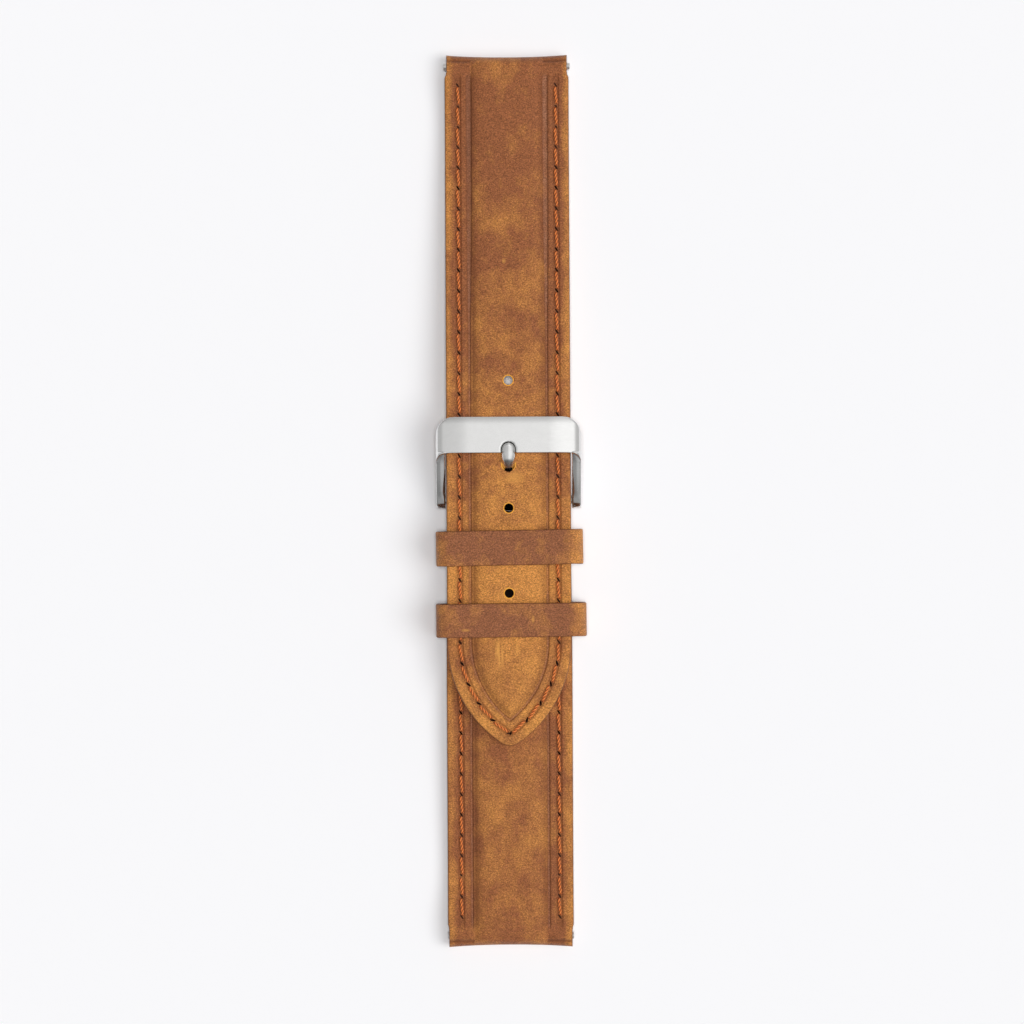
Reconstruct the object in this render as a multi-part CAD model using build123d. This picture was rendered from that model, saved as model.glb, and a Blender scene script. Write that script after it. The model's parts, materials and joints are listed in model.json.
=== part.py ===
from build123d import *
import math
import os

os.makedirs("parts", exist_ok=True)

# A 20 mm leather watch strap, buckled and laid on a table with its face up. Millimetres.
# +Y runs from the short piece's lug end to the long piece's lug end, +Z up, origin on the table.

# Lengths along the strap, from the axis of the buckle's spring bar
short_reach = 72.2
long_reach = 71.8
tip_start = 22.85
tip_length = 17.15
tip_round = 2.4
tip_round_least = 0.15
tip_side_steps = 8
tip_nose_steps = 3
core_hole_sides = 8

# Section of the strap
strap_width = 20.0
lining_thickness = 0.8
stiffener_thickness = 0.2
upper_thickness = 1.2
leather_wall = 0.9
crown_rise = 0.55
lug_crown_rise = 0.7
edge_round = 0.25
stiffener_inset = 1.0
padding_inset = 4.6
padding_cover = 0.95

# Pressed lines along the edges
stitch_inset = 2.1
groove_width = 0.8
groove_slope = 0.15
groove_depth = 0.22
under_groove_depth = 0.3
crease_inset = 3.8
crease_gap = 0.4
crease_slope = 0.2
crease_depth = 0.2
crease_ridge_share = 0.25
crown_inset = 4.2
# The crown's rise (second) at a share of its half width (first)
dome_shares = ((0.90, 0.42), (0.70, 0.80), (0.35, 1.0))

# Lug ends
lug_relief = 0.28
relief_length = 3.1
relief_slope = 0.3
lug_ramp = 9.0
lug_extra = 0.2
end_hollow = 0.35
turn_back = 6.5
padding_end = 4.4
end_angle_shares = (0.0, 0.34, 0.64, 0.88)

# The short piece's loop at the buckle
loop_ramp = 4.2
loop_slot_gap = 0.15
core_start = 11.0

# The long piece bends over the buckle's spring bar, as two halves this far apart
fold_gap = 0.06

# Height of the pieces off the table
rise_length = 30.0
flat_length = 12.0
long_flat_length = 6.0
rest_gap = 0.08

# Stitching
stitch_pitch = 3.3
stitch_length = 2.6
stitch_width = 0.6
stitch_height = 0.46
stitch_slant = 7.0
stitch_end = 5.2
short_stitch_start = 4.6
under_stitch_height = 0.26
seat_gap = 0.02
# Half breadth and height of a stitch at a share of its half length
stitch_shares = ((-1.0, 0.45), (-0.5, 1.0), (0.5, 1.0), (1.0, 0.45))
under_stitch_shares = ((-1.0, 0.8), (1.0, 0.8))
stitch_top_share = 0.55

# Holes for the tongue
hole_reach = 5.5
hole_pitch = 6.9
hole_radius = 0.8
holes_to_lug = 2
holes_to_tip = 3

# Keepers
keeper_thickness = 1.1
keeper_width = 5.6
keeper_skive = 0.5
keeper_side_gap = 0.72
keeper_round = 2.0
keeper_inner_round = 0.9
keeper_skew = 0.8
fixed_keeper_reach = 5.0
free_keeper_reach = 16.8
free_keeper_width = 5.4
free_keeper_extra = 0.25
free_keeper_travel = 6.0
slide_gap = 0.1

# Spring bars
tube_radius = 0.9
tube_bore = 0.75
bar_gap = 0.04
shoulder_radius = 0.72
shoulder_length = 2.4
shoulder_proud = 0.04
lug_pin_radius = 0.55
lug_pin_length = 0.4
lug_pin_travel = 1.2
buckle_pin_radius = 0.5
buckle_pin_inset = 0.15
buckle_pin_travel = 1.35
play = 0.02

# Buckle
frame_wall = 1.4
frame_side_gap = 0.25
frame_eye = 1.4
eye_play = 0.06
bar_reach = 7.5
bar_width = 6.05
bar_thickness = 1.6
bar_corner = 3.0
bar_roll = 1.2
bar_bevel = 0.2
window_corner = 1.3
arm_nose = 0.75
arm_nose_inset = 1.9
notch_width = 2.5
notch_depth = 2.0
notch_floor = 0.65
tongue_width = 1.96
tongue_thickness = 1.1
tongue_length = 9.35
tongue_barrel = 1.62
tongue_barrel_width = 2.2
tongue_edge_gap = 0.06
tongue_rest_gap = 0.03
tongue_edge = 0.28
tongue_bend_round = 0.9
tongue_seam = 0.12
tongue_hole_gap = 0.06
tongue_hole_slack = 0.66
tongue_hole_round = 0.5

overrun = 1.0
flatness = 0.0000001

# Worked out from the sizes above
half_width = strap_width / 2
axis_y = (short_reach - long_reach) / 2
bar_bore = tube_radius + bar_gap
loop_radius = bar_bore + leather_wall
margin_height = lining_thickness + upper_thickness
body_height = margin_height + crown_rise
short_lift = keeper_thickness + slide_gap
axis_z = short_lift + loop_radius
long_top_z = axis_z + loop_radius + rest_gap
tip_base = short_lift + body_height + rest_gap
tip_arc = (half_width**2 + tip_length**2) / (2 * half_width)
stitch_x = half_width - stitch_inset
crease_x = half_width - crease_inset
crown_x = half_width - crown_inset
lug_half = half_width - lug_relief
short_lug = short_reach - loop_radius
short_rise = short_reach - flat_length - rise_length
long_lug = long_reach - loop_radius


def between(knots, s):
    """Straight-line value at s among knots of (place, value), level past both ends."""
    if s <= knots[0][0]:
        return knots[0][1]
    for (s0, v0), (s1, v1) in zip(knots, knots[1:]):
        if s <= s1:
            return v0 + (v1 - v0) * (s - s0) / (s1 - s0)
    return knots[-1][1]


# Shape along each piece. s is the distance from the buckle's axis towards that piece's lug end.
short_base = [(short_rise, short_lift), (short_reach - flat_length, 0)]
long_base = [(-tip_start, tip_base), (0, long_top_z), (long_reach - long_flat_length, 0)]
short_height = [
    (0, 2 * loop_radius),
    (loop_ramp, margin_height),
    (short_rise, margin_height),
    (short_lug - lug_ramp, margin_height + lug_extra),
    (short_lug, 2 * loop_radius),
]
long_height = [
    (0, margin_height),
    (long_lug - lug_ramp, margin_height + lug_extra),
    (long_lug, 2 * loop_radius),
]
short_crown = [
    (0, 0),
    (loop_ramp, crown_rise),
    (short_rise, crown_rise),
    (short_lug - lug_ramp, lug_crown_rise),
]
long_crown = [(0, crown_rise), (long_lug - lug_ramp, lug_crown_rise)]


def slope_at(knots, s):
    """Angle of the underside in degrees, positive where it rises towards the lug end."""
    step = play
    return math.degrees(math.atan((between(knots, s + step) - between(knots, s - step)) / (2 * step)))


def half_width_at(reach, s):
    """Half width of a piece, drawn in where it goes between the watch's lugs."""
    relief_end = reach - relief_length
    return between([(relief_end - relief_slope, half_width), (relief_end, lug_half)], s)


def pressed_share(reach, s):
    """How deep the pressed lines are: nothing on the loop round the lug's spring bar."""
    relief_end = reach - relief_length
    return between([(relief_end - relief_slope, 1), (relief_end, 0)], s)


def half_profile(half, height, crown, pressed):
    """Outer section from the middle of the underside round the edge to the crown's top."""
    groove_in = stitch_x - groove_width / 2
    groove_out = stitch_x + groove_width / 2
    under = under_groove_depth * pressed
    groove = groove_depth * pressed
    crease = crease_depth * pressed
    points = [
        (groove_in - groove_slope, 0),
        (groove_in, under),
        (groove_out, under),
        (groove_out + groove_slope, 0),
        (half, 0),
        (half, height - edge_round),
        (half - edge_round, height),
        (groove_out + groove_slope, height),
        (groove_out, height - groove),
        (groove_in, height - groove),
        (groove_in - groove_slope, height),
        (crease_x + crease_gap / 2 + crease_slope, height),
        (crease_x + crease_gap / 2, height - crease),
        (crease_x, height - crease * crease_ridge_share),
        (crease_x - crease_gap / 2, height - crease),
        (crown_x, height),
    ]
    return points + [(crown_x * a, height + crown * b) for a, b in dome_shares]


def padding_profile(height, crown):
    """Section of the padding under the crown, from its lower edge to its top."""
    wide = half_width - padding_inset
    floor = lining_thickness + stiffener_thickness
    roof = height - padding_cover
    points = [(wide, floor), (wide, (floor + roof) / 2)]
    return points + [(wide * a, roof + crown * b) for a, b in dome_shares]


def section(y, z, points):
    """Ring of corners across the strap at y, its right half given as (x, height over z)."""
    right = [Vector(x, y, z + h) for x, h in points]
    left = [Vector(-x, y, z + h) for x, h in reversed(points)]
    return right + left


def box_points(half, low, high):
    return [(half, low), (half, high)]


def flat_faces(a, b, c, d):
    """A four-cornered face, or two with three corners where the four aren't in one plane."""
    normal = (b - a).cross(c - a)
    if abs(normal.dot(d - a)) < flatness * normal.length:
        return [Face(Wire.make_polygon([a, b, c, d], close=True))]
    return [
        Face(Wire.make_polygon([a, b, c], close=True)),
        Face(Wire.make_polygon([a, c, d], close=True)),
    ]


def skin(rings):
    """Closed solid with flat faces from each ring of corners to the next, and over both ends."""
    faces = [Face(Wire.make_polygon(ring, close=True)) for ring in (rings[0], rings[-1])]
    for near, far in zip(rings, rings[1:]):
        for i in range(len(near)):
            faces += flat_faces(near[i - 1], near[i], far[i], far[i - 1])
    return Solid(Shell(faces))


def strip(side, stations):
    """Solid through stations of (s, z, half profile). side is 1 for the long piece, -1 for the short."""
    return skin([section(axis_y + side * s, z, points) for s, z, points in stations])


def tip_corners(inset, z, back=0.0):
    """The pointed end's outline, drawn in by inset, at height z and closed behind the tip's start."""
    start_y = axis_y - tip_start
    arc = tip_arc - inset
    side_x = tip_arc - half_width
    nose = max(tip_round - inset, tip_round_least)
    nose_drop = math.sqrt((arc - nose) ** 2 - side_x**2)
    sweep = math.atan2(nose_drop, side_x)
    right = [(half_width - inset, start_y + overrun + half_width - inset + back)]
    for k in range(tip_side_steps + 1):
        turn = sweep * k / tip_side_steps
        right.append((arc * math.cos(turn) - side_x, start_y - arc * math.sin(turn)))
    for k in range(1, tip_nose_steps):
        turn = sweep + (math.pi / 2 - sweep) * k / tip_nose_steps
        right.append((nose * math.cos(turn), start_y - nose_drop - nose * math.sin(turn)))
    apex = Vector(0, start_y - nose_drop - nose, z)
    left = [Vector(-x, y, z) for x, y in reversed(right)]
    return [Vector(x, y, z) for x, y in right] + [apex] + left


def tip(points):
    """The section carried round the pointed end: outlines drawn in point by point."""
    solid = skin([tip_corners(half_width - x, tip_base + h) for x, h in points])
    reach = tip_length + strap_width
    keep = Box(2 * strap_width, reach, strap_width, align=(Align.CENTER, Align.MAX, Align.CENTER))
    return solid & keep.moved(Location((0, axis_y - tip_start, tip_base)))


def plan_prism(inset):
    """Upright prism with the long piece's plan, drawn in by inset."""
    corners = tip_corners(inset, -strap_width, back=long_reach + strap_width)
    face = Face(Wire.make_polygon(corners, close=True))
    return Solid.extrude(face, Vector(0, 0, 3 * strap_width))


def end_stations(reach, base, points_at):
    """Stations round the loop at a lug end or at the buckle, from its axis outwards."""
    stations = []
    for share in end_angle_shares:
        turn = share * math.pi / 2
        grown = loop_radius * math.cos(turn)
        s = reach + loop_radius * math.sin(turn)
        stations.append((s, base + loop_radius - grown, points_at(grown)))
    return stations


def piece_stations(reach, lug, base, height, crown, places):
    """Outer section at each place along a piece, then round its lug end."""
    stations = []
    for s in places:
        points = half_profile(
            half_width_at(reach, s), between(height, s), between(crown, s), pressed_share(reach, s)
        )
        stations.append((s, between(base, s), points))

    def lug_points(grown):
        rise = lug_crown_rise * grown / loop_radius
        return half_profile(lug_half, 2 * grown, rise, 0)

    return stations + end_stations(lug, between(base, lug), lug_points)


def places_between(first, last, *knot_lists):
    """Sorted places of all knots from first to last, with both ends."""
    found = {first, last}
    for knots in knot_lists:
        found |= {s for s, _ in knots if first < s < last}
    return sorted(found)


def relief_knots(reach):
    relief_end = reach - relief_length
    return [(relief_end - relief_slope, 0), (relief_end, 0)]


def layer(side, base, first, last, half, low, high):
    """A flat layer of the sandwich, level across and following the underside."""
    places = places_between(first, last, base)
    return strip(side, [(s, between(base, s), box_points(half, low, high)) for s in places])


def bar_hole(s, side, z, radius):
    """Cutter for a spring bar's bore across the strap."""
    across = Cylinder(radius, strap_width + 2 * overrun, rotation=(0, 90, 0))
    return across.moved(Location((0, axis_y + side * s, z)))


def end_hollow_cut(side, reach):
    """Cutter that hollows the end's edge between the lugs."""
    radius = (lug_half**2 + end_hollow**2) / (2 * end_hollow)
    post = Cylinder(radius, strap_width)
    return post.moved(Location((0, axis_y + side * (reach - end_hollow + radius), loop_radius)))


def short_envelope():
    places = places_between(
        0, short_lug, short_base, short_height, short_crown, relief_knots(short_reach)
    )
    stations = piece_stations(
        short_reach, short_lug, short_base, short_height, short_crown, places[:-1]
    )

    def loop_points(grown):
        return half_profile(half_width, 2 * grown, 0, 0)

    first = end_stations(0, short_lift, loop_points)
    front = [(-s, z, points) for s, z, points in reversed(first)]
    front[-1] = (0, short_lift, half_profile(half_width, 2 * loop_radius, 0, 0))
    return strip(-1, front + stations[1:])


def long_envelope():
    places = places_between(
        -tip_start, long_lug, long_base, long_height, long_crown, relief_knots(long_reach)
    )
    body = strip(
        1, piece_stations(long_reach, long_lug, long_base, long_height, long_crown, places[:-1])
    )
    return body + tip(half_profile(half_width, margin_height, crown_rise, 1))


def padding(side, base, height, crown, first, last):
    places = places_between(first, last, base, height, crown)
    stations = []
    for s in places:
        stations.append((s, between(base, s), padding_profile(between(height, s), between(crown, s))))
    return strip(side, stations)


def tongue_line():
    """Where the tongue runs in the YZ plane: angle, lower line's start and its bend at the notch."""
    floor_y = axis_y + bar_reach - tongue_edge_gap
    edge = bar_point(0, notch_floor + tongue_rest_gap)
    dy, dz = floor_y - axis_y, edge.Z - axis_z
    far = math.hypot(dy, dz)
    angle = math.atan2(dz, dy) + math.asin(tongue_barrel / far)
    return angle, Vector(0, floor_y, edge.Z)


def bar_slope():
    """Angle in degrees at which the buckle's bar lies down along the long piece."""
    return -slope_at(long_base, bar_reach + bar_width / 2)


def bar_plane():
    """The bar's underside, from its inner edge: x across, y along the strap, z up from the strap."""
    y = axis_y + bar_reach
    top = between(long_base, bar_reach) + body_height + rest_gap
    lean = math.radians(bar_slope())
    return Plane(
        origin=(0, y, top), x_dir=(1, 0, 0), z_dir=(0, math.sin(lean), math.cos(lean))
    )


def bar_point(along, up):
    return bar_plane().from_local_coords(Vector(0, along, up))


def tongue_hole(plain=False):
    """Cutter for the hole that the tongue goes through, leaning with it, slack behind it."""
    angle, bend = tongue_line()
    along = Vector(0, math.cos(angle), math.sin(angle))
    plane = Plane(origin=bend - along * (body_height / 2), x_dir=(-1, 0, 0), z_dir=along)
    wide = tongue_width + 2 * tongue_hole_gap
    deep = tongue_thickness + 2 * tongue_hole_gap
    back = tongue_thickness + tongue_hole_slack
    shape = Pos(0, tongue_thickness / 2) * RectangleRounded(wide, deep, tongue_hole_round)
    shape += Pos(0, back - wide / 2) * Circle(wide / 2)
    if plain:
        shape = Pos(0, (back - tongue_hole_gap) / 2) * Rectangle(wide, back + tongue_hole_gap)
    return extrude(plane * shape, amount=2 * body_height, both=True)


def upright_holes(outline):
    """Cutters for the holes beside the tongue's, to the lug end and to the tip."""
    steps = [k for k in range(-holes_to_tip, holes_to_lug + 1) if k != 0]
    post = extrude(outline, amount=strap_width, both=True)
    return [post.moved(Location((0, axis_y + hole_reach + k * hole_pitch, 0))) for k in steps]


def punched_holes():
    """Cutters for the holes as they show in the upper leather and the lining."""
    return upright_holes(Circle(hole_radius)) + [tongue_hole()]


def core_holes():
    """Plainer, slightly wider cutters for the same holes in the hidden stiffener and padding."""
    outline = RegularPolygon(hole_radius, core_hole_sides, major_radius=False)
    return upright_holes(outline) + [tongue_hole(plain=True)]


def cut_all(solid, cutters):
    for cutter in cutters:
        solid = solid - cutter
    return solid


def keeper_loop(centre_s, width, low, high, band, extra):
    """A leather band closed round the strap: window from low to high, its lower run band thick."""
    half = half_width + keeper_side_gap + extra
    outer_low, outer_high = low - band, high + keeper_thickness
    mid_y = axis_y - centre_s

    def ring(half_x, z0, z1, radius, long):
        plane = Plane(origin=(0, mid_y, (z0 + z1) / 2), x_dir=(1, 0, 0), z_dir=(0, -1, 0))
        shape = plane * RectangleRounded(2 * half_x, z1 - z0, radius)
        return extrude(shape, amount=long / 2, both=True)

    outer = ring(half + keeper_thickness, outer_low, outer_high, keeper_round, width)
    inner = ring(half, low, high, keeper_inner_round, width + 2 * overrun)
    turned = (outer - inner).moved(Location((0, -mid_y, 0)))
    return turned.moved(Location((0, mid_y, 0), (0, 0, keeper_skew)))


def fixed_keeper_window():
    low = short_lift + lining_thickness + keeper_skive
    high = between(long_base, -fixed_keeper_reach) + body_height + slide_gap
    return low, high


def fixed_keeper():
    low, high = fixed_keeper_window()
    centre = fixed_keeper_reach + keeper_width / 2
    return keeper_loop(centre, keeper_width, low, high, keeper_skive, 0)


def free_keeper():
    low = short_lift - slide_gap
    near = free_keeper_reach - free_keeper_travel
    high = between(long_base, -near) + body_height + slide_gap
    centre = free_keeper_reach + free_keeper_width / 2
    return keeper_loop(
        centre, free_keeper_width, low, high, keeper_thickness, free_keeper_extra
    )


def tongue_slot():
    """Cutter for the slot in the short piece's loop, where the tongue's barrel sits."""
    wide = tongue_barrel_width + 2 * loop_slot_gap
    behind = tongue_barrel + loop_slot_gap
    front = loop_radius + overrun
    slot = Box(wide, behind + front, strap_width, align=(Align.CENTER, Align.MIN, Align.CENTER))
    return slot.moved(Location((0, axis_y - behind, axis_z)))


def short_leather():
    """The short piece's upper, lining, stiffener and padding."""
    lining_first, lining_last = turn_back, short_reach - turn_back
    core_last = short_lug - padding_end
    envelope = short_envelope()
    under = layer(
        -1, short_base, lining_first, lining_last, half_width + overrun, -overrun, lining_thickness
    )
    stiffener = layer(
        -1,
        short_base,
        core_start,
        core_last,
        half_width - stiffener_inset,
        lining_thickness,
        lining_thickness + stiffener_thickness,
    )
    pad = padding(-1, short_base, short_height, short_crown, core_start, core_last)
    lining = envelope & under
    bores = [
        bar_hole(0, -1, axis_z, bar_bore),
        bar_hole(short_lug, -1, loop_radius, bar_bore),
        end_hollow_cut(-1, short_reach),
        tongue_slot(),
        fixed_keeper(),
    ]
    upper = cut_all(envelope, [under, stiffener, pad] + bores)
    return upper, lining, stiffener, pad


def long_leather():
    """The long piece's upper, lining, stiffener and padding."""
    lining_last = long_reach - turn_back
    core_last = long_lug - padding_end
    past_tip = -tip_start - tip_length - overrun
    envelope = long_envelope()
    under = layer(
        1, long_base, past_tip, lining_last, half_width + overrun, -overrun, lining_thickness
    )
    flat = layer(
        1,
        long_base,
        past_tip,
        core_last,
        half_width,
        lining_thickness,
        lining_thickness + stiffener_thickness,
    )
    stiffener = flat & plan_prism(stiffener_inset)
    straight = padding(1, long_base, long_height, long_crown, -tip_start, core_last)
    pad = straight + tip(padding_profile(margin_height, crown_rise))
    lining = envelope & under
    bores = [bar_hole(long_lug, 1, loop_radius, bar_bore), end_hollow_cut(1, long_reach)]
    holes = punched_holes()
    inner_holes = core_holes()
    upper = cut_all(envelope, [under, stiffener, pad] + bores + holes)
    return upper, cut_all(lining, holes), cut_all(stiffener, inner_holes), cut_all(pad, inner_holes)


def long_halves(solid):
    """A layer of the long piece as its tip half and its lug half, parted over the buckle's spring bar."""
    size = 2 * (short_reach + long_reach)
    tip_side = Box(size, size, size, align=(Align.CENTER, Align.MAX, Align.CENTER))
    lug_side = Box(size, size, size, align=(Align.CENTER, Align.MIN, Align.CENTER))
    return (
        solid & tip_side.moved(Location((0, axis_y - fold_gap / 2, 0))),
        solid & lug_side.moved(Location((0, axis_y + fold_gap / 2, 0))),
    )


def stitch(height, flip, shares):
    """One stitch: a low rounded bar along +Y, its flat side on z = 0."""
    rings = []
    for place, grown in shares:
        wide = stitch_width / 2 * grown
        high = height * grown * flip
        top = wide * stitch_top_share
        y = place * stitch_length / 2
        rings.append([Vector(x, y, z) for x, z in ((-wide, 0), (-top, high), (top, high), (wide, 0))])
    return skin(rings)


def straight_row(side, x, base, height, reach, first, last):
    """Stitches on both faces along one edge, from first to last, as placed solids."""
    count = round((last - first) / stitch_pitch)
    solids = []
    for k in range(count):
        s = first + (last - first) * (k + 0.5) / count
        low = between(base, s) + under_groove_depth - seat_gap
        high = between(base, s) + between(height, s) - groove_depth + seat_gap
        lean = slope_at(base, s)
        steep = slope_at([(p, between(base, p) + between(height, p)) for p in (s - play, s + play)], s)
        slant = Location((0, 0, 0), (0, 0, stitch_slant))
        place = Location((x, axis_y + side * s, high), (side * steep, 0, 0))
        solids.append(stitch(stitch_height, 1, stitch_shares).moved(place * slant))
        place = Location((x, axis_y + side * s, low), (side * lean, 0, 0))
        solids.append(stitch(under_stitch_height, -1, under_stitch_shares).moved(place * slant))
    return solids


def tip_row(side):
    """Stitches round one side of the pointed end."""
    side_x = tip_arc - half_width
    arc = tip_arc - stitch_inset
    sweep = math.acos(side_x / arc)
    count = round(arc * sweep / stitch_pitch)
    solids = []
    for k in range(count):
        turn = (k + 0.5) * sweep / count
        x = side * (arc * math.cos(turn) - side_x)
        y = axis_y - tip_start - arc * math.sin(turn)
        heading = -side * math.degrees(turn) + stitch_slant
        high = tip_base + margin_height - groove_depth + seat_gap
        low = tip_base + under_groove_depth - seat_gap
        upper = stitch(stitch_height, 1, stitch_shares)
        under = stitch(under_stitch_height, -1, under_stitch_shares)
        solids.append(upper.moved(Location((x, y, high), (0, 0, heading))))
        solids.append(under.moved(Location((x, y, low), (0, 0, heading))))
    return solids


def stitch_rows():
    rows = {}
    for name, side in (("left", -1), ("right", 1)):
        x = side * stitch_x
        short_end = short_reach - stitch_end
        long_end = long_reach - stitch_end
        short = straight_row(
            -1, x, short_base, short_height, short_reach, short_stitch_start, short_end
        )
        back = straight_row(1, x, long_base, long_height, long_reach, -tip_start, 0)
        long = straight_row(1, x, long_base, long_height, long_reach, 0, long_end)
        rows["short_stitching_" + name] = Compound(short)
        rows["tip_stitching_" + name] = Compound(back + tip_row(side))
        rows["long_stitching_" + name] = Compound(long)
    return rows


def rod(radius, x0, x1):
    """Round bar along X from x0 to x1."""
    disc = Plane(origin=(x0, 0, 0), x_dir=(0, 1, 0), z_dir=(1, 0, 0)) * Circle(radius)
    return extrude(disc, amount=x1 - x0)


def spring_bar(name, y, z, face, pin_radius, pin_length, travel):
    """Tube, spring and two sprung plungers of one spring bar. face is where a plunger's shoulder ends."""
    tube_end = face - travel - play
    spring_end = face - shoulder_length
    tube = rod(tube_radius, -tube_end, tube_end) - rod(tube_bore, -tube_end, tube_end)
    spring = rod(shoulder_radius, -spring_end, spring_end)
    right = rod(shoulder_radius, spring_end, face) + rod(pin_radius, face, face + pin_length)
    place = Location((0, y, z))
    return {
        name + "_tube": tube.moved(place),
        name + "_spring": spring.moved(place),
        name + "_plunger_right": right.moved(place),
        name + "_plunger_left": mirror(right, about=Plane.YZ).moved(place),
    }


frame_inner = half_width + frame_side_gap
frame_outer = frame_inner + frame_wall


def frame_bar():
    """The buckle's front bar with its rolled ends, its corners and the notch for the tongue."""
    plane = bar_plane()
    back = window_corner + frame_wall
    long = bar_width + back
    plan = Pos(0, bar_width - long / 2) * Rectangle(2 * frame_outer, long)
    plan = fillet(plan.vertices().group_by(Axis.Y)[-1], bar_corner)
    window = Pos(0, -strap_width / 2) * RectangleRounded(
        2 * frame_inner, strap_width, window_corner
    )
    body = extrude(plane * (plan - window), amount=bar_thickness)
    front = Plane(
        origin=plane.origin - plane.y_dir * strap_width, x_dir=plane.x_dir, z_dir=plane.y_dir
    )
    tall = bar_thickness + strap_width
    outline = Pos(0, -bar_thickness + tall / 2) * Rectangle(2 * frame_outer, tall)
    outline = fillet(outline.vertices().group_by(Axis.Y)[0], bar_roll)
    body = body & extrude(front * outline, amount=2 * strap_width)
    for along in (0, bar_width):
        body -= bevel_cut(along)
    notch_centre = notch_depth - notch_width / 2
    notch = Pos(0, notch_centre) * Circle(notch_width / 2)
    notch += Pos(0, notch_centre - strap_width / 2) * Rectangle(notch_width, strap_width)
    lift = Plane(origin=plane.origin + plane.z_dir * notch_floor, x_dir=plane.x_dir, z_dir=plane.z_dir)
    return body - extrude(lift * notch, amount=bar_thickness)


def bevel_cut(along):
    """Cutter for the thin bevel on the bar's upper edge at a distance along the strap."""
    corner = bar_point(along, bar_thickness)
    half = frame_inner - window_corner if along == 0 else frame_outer
    edge = Box(2 * half, bar_bevel * math.sqrt(2), bar_bevel * math.sqrt(2))
    return edge.moved(Location(corner, (45 - bar_slope(), 0, 0)))


def frame_arm(side):
    """One arm, from its eye on the spring bar up to the bar."""
    nose = bar_point(arm_nose_inset, bar_thickness / 2)
    yz = Plane.YZ
    outline = Pos(axis_y, axis_z) * Circle(frame_eye)
    end = Pos(nose.Y, nose.Z) * Circle(arm_nose)
    link = make_hull(outline.edges() + end.edges())
    inner = frame_inner if side > 0 else -frame_outer
    start = Plane(origin=(inner, 0, 0), x_dir=yz.x_dir, z_dir=yz.z_dir)
    return extrude(start * link, amount=frame_wall)


def buckle_frame():
    frame = frame_bar() + frame_arm(1) + frame_arm(-1)
    across = 2 * (frame_outer + overrun)
    eye = Cylinder(buckle_pin_radius + eye_play, across, rotation=(0, 90, 0))
    return frame - eye.moved(Location((0, axis_y, axis_z)))


def buckle_tongue():
    """The tongue: a barrel rolled round the spring bar and a pin that bends into the bar's notch."""
    angle, bend = tongue_line()
    along = Vector(0, math.cos(angle), math.sin(angle))
    up = Vector(0, -math.sin(angle), math.cos(angle))
    start = Vector(0, axis_y, axis_z) - up * tongue_barrel
    bar = bar_plane()
    tip_low = bar.origin + bar.z_dir * (notch_floor + tongue_rest_gap)
    level = bar.y_dir
    reach_out = (axis_y + tongue_length - bend.Y) / level.Y
    end = bend + level * reach_out
    turn = angle + math.radians(bar_slope())
    miter = tongue_thickness * math.tan(turn / 2)
    upper_bend = bend + up * tongue_thickness - along * miter
    upper_end = end + bar.z_dir * tongue_thickness
    upper_start = start + up * tongue_thickness
    corners = [start, bend, end, upper_end, upper_bend, upper_start]
    face = Face(Wire.make_polygon(corners, close=True))
    bent = face.vertices().sort_by_distance(upper_bend)[0]
    face = face.fillet_2d(tongue_bend_round, [bent])
    half = Vector(tongue_width / 2, 0, 0)
    arm = Solid.extrude(face.moved(Location(-half)), 2 * half)
    nose_y = axis_y + tongue_length - tongue_width / 2
    plan = Pos(0, nose_y) * Circle(tongue_width / 2)
    plan += Pos(0, nose_y - strap_width / 2) * Rectangle(tongue_width, strap_width)
    arm = arm & extrude(plan, amount=2 * strap_width)
    edges = arm.edges().filter_by(lambda e: e.length > body_height and abs(e.center().X) > tongue_width / 4)
    arm = chamfer(edges, tongue_edge)
    barrel = rod(tongue_barrel, -tongue_barrel_width / 2, tongue_barrel_width / 2)
    barrel = barrel.moved(Location((0, axis_y, axis_z)))
    bore = rod(tube_radius + eye_play, -strap_width, strap_width)
    bore = bore.moved(Location((0, axis_y, axis_z)))
    seam = Box(
        strap_width, tongue_seam, tongue_barrel, align=(Align.CENTER, Align.CENTER, Align.MAX)
    )
    seam = seam.moved(Location((0, axis_y, axis_z), (-math.degrees(angle), 0, 0)))
    return arm + barrel - bore - seam


def build():
    parts = {}
    names = ("upper_leather", "lining", "stiffener", "padding")
    for name, solid in zip(names, short_leather()):
        parts["short_" + name] = solid
    for name, solid in zip(names, long_leather()):
        parts["tip_" + name], parts["long_" + name] = long_halves(solid)
    parts |= stitch_rows()
    parts["fixed_keeper"] = fixed_keeper()
    parts["free_keeper"] = free_keeper()
    parts["buckle_frame"] = buckle_frame()
    parts["buckle_tongue"] = buckle_tongue()
    lug_face = lug_half + shoulder_proud
    buckle_face = half_width + frame_side_gap - eye_play
    buckle_pin = frame_outer - buckle_pin_inset - buckle_face
    parts |= spring_bar(
        "long_lug_bar",
        axis_y + long_lug,
        loop_radius,
        lug_face,
        lug_pin_radius,
        lug_pin_length,
        lug_pin_travel,
    )
    parts |= spring_bar(
        "short_lug_bar",
        axis_y - short_lug,
        loop_radius,
        lug_face,
        lug_pin_radius,
        lug_pin_length,
        lug_pin_travel,
    )
    parts |= spring_bar(
        "buckle_bar", axis_y, axis_z, buckle_face, buckle_pin_radius, buckle_pin, buckle_pin_travel
    )
    return parts


for node, shape in build().items():
    export_step(shape, f"parts/{node}.step")
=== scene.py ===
"""A buckled leather watch strap on a pale table. Metres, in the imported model's frame."""
import json
import math
from collections import namedtuple

import bmesh
import bpy
from mathutils import Matrix, Vector, noise

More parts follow.
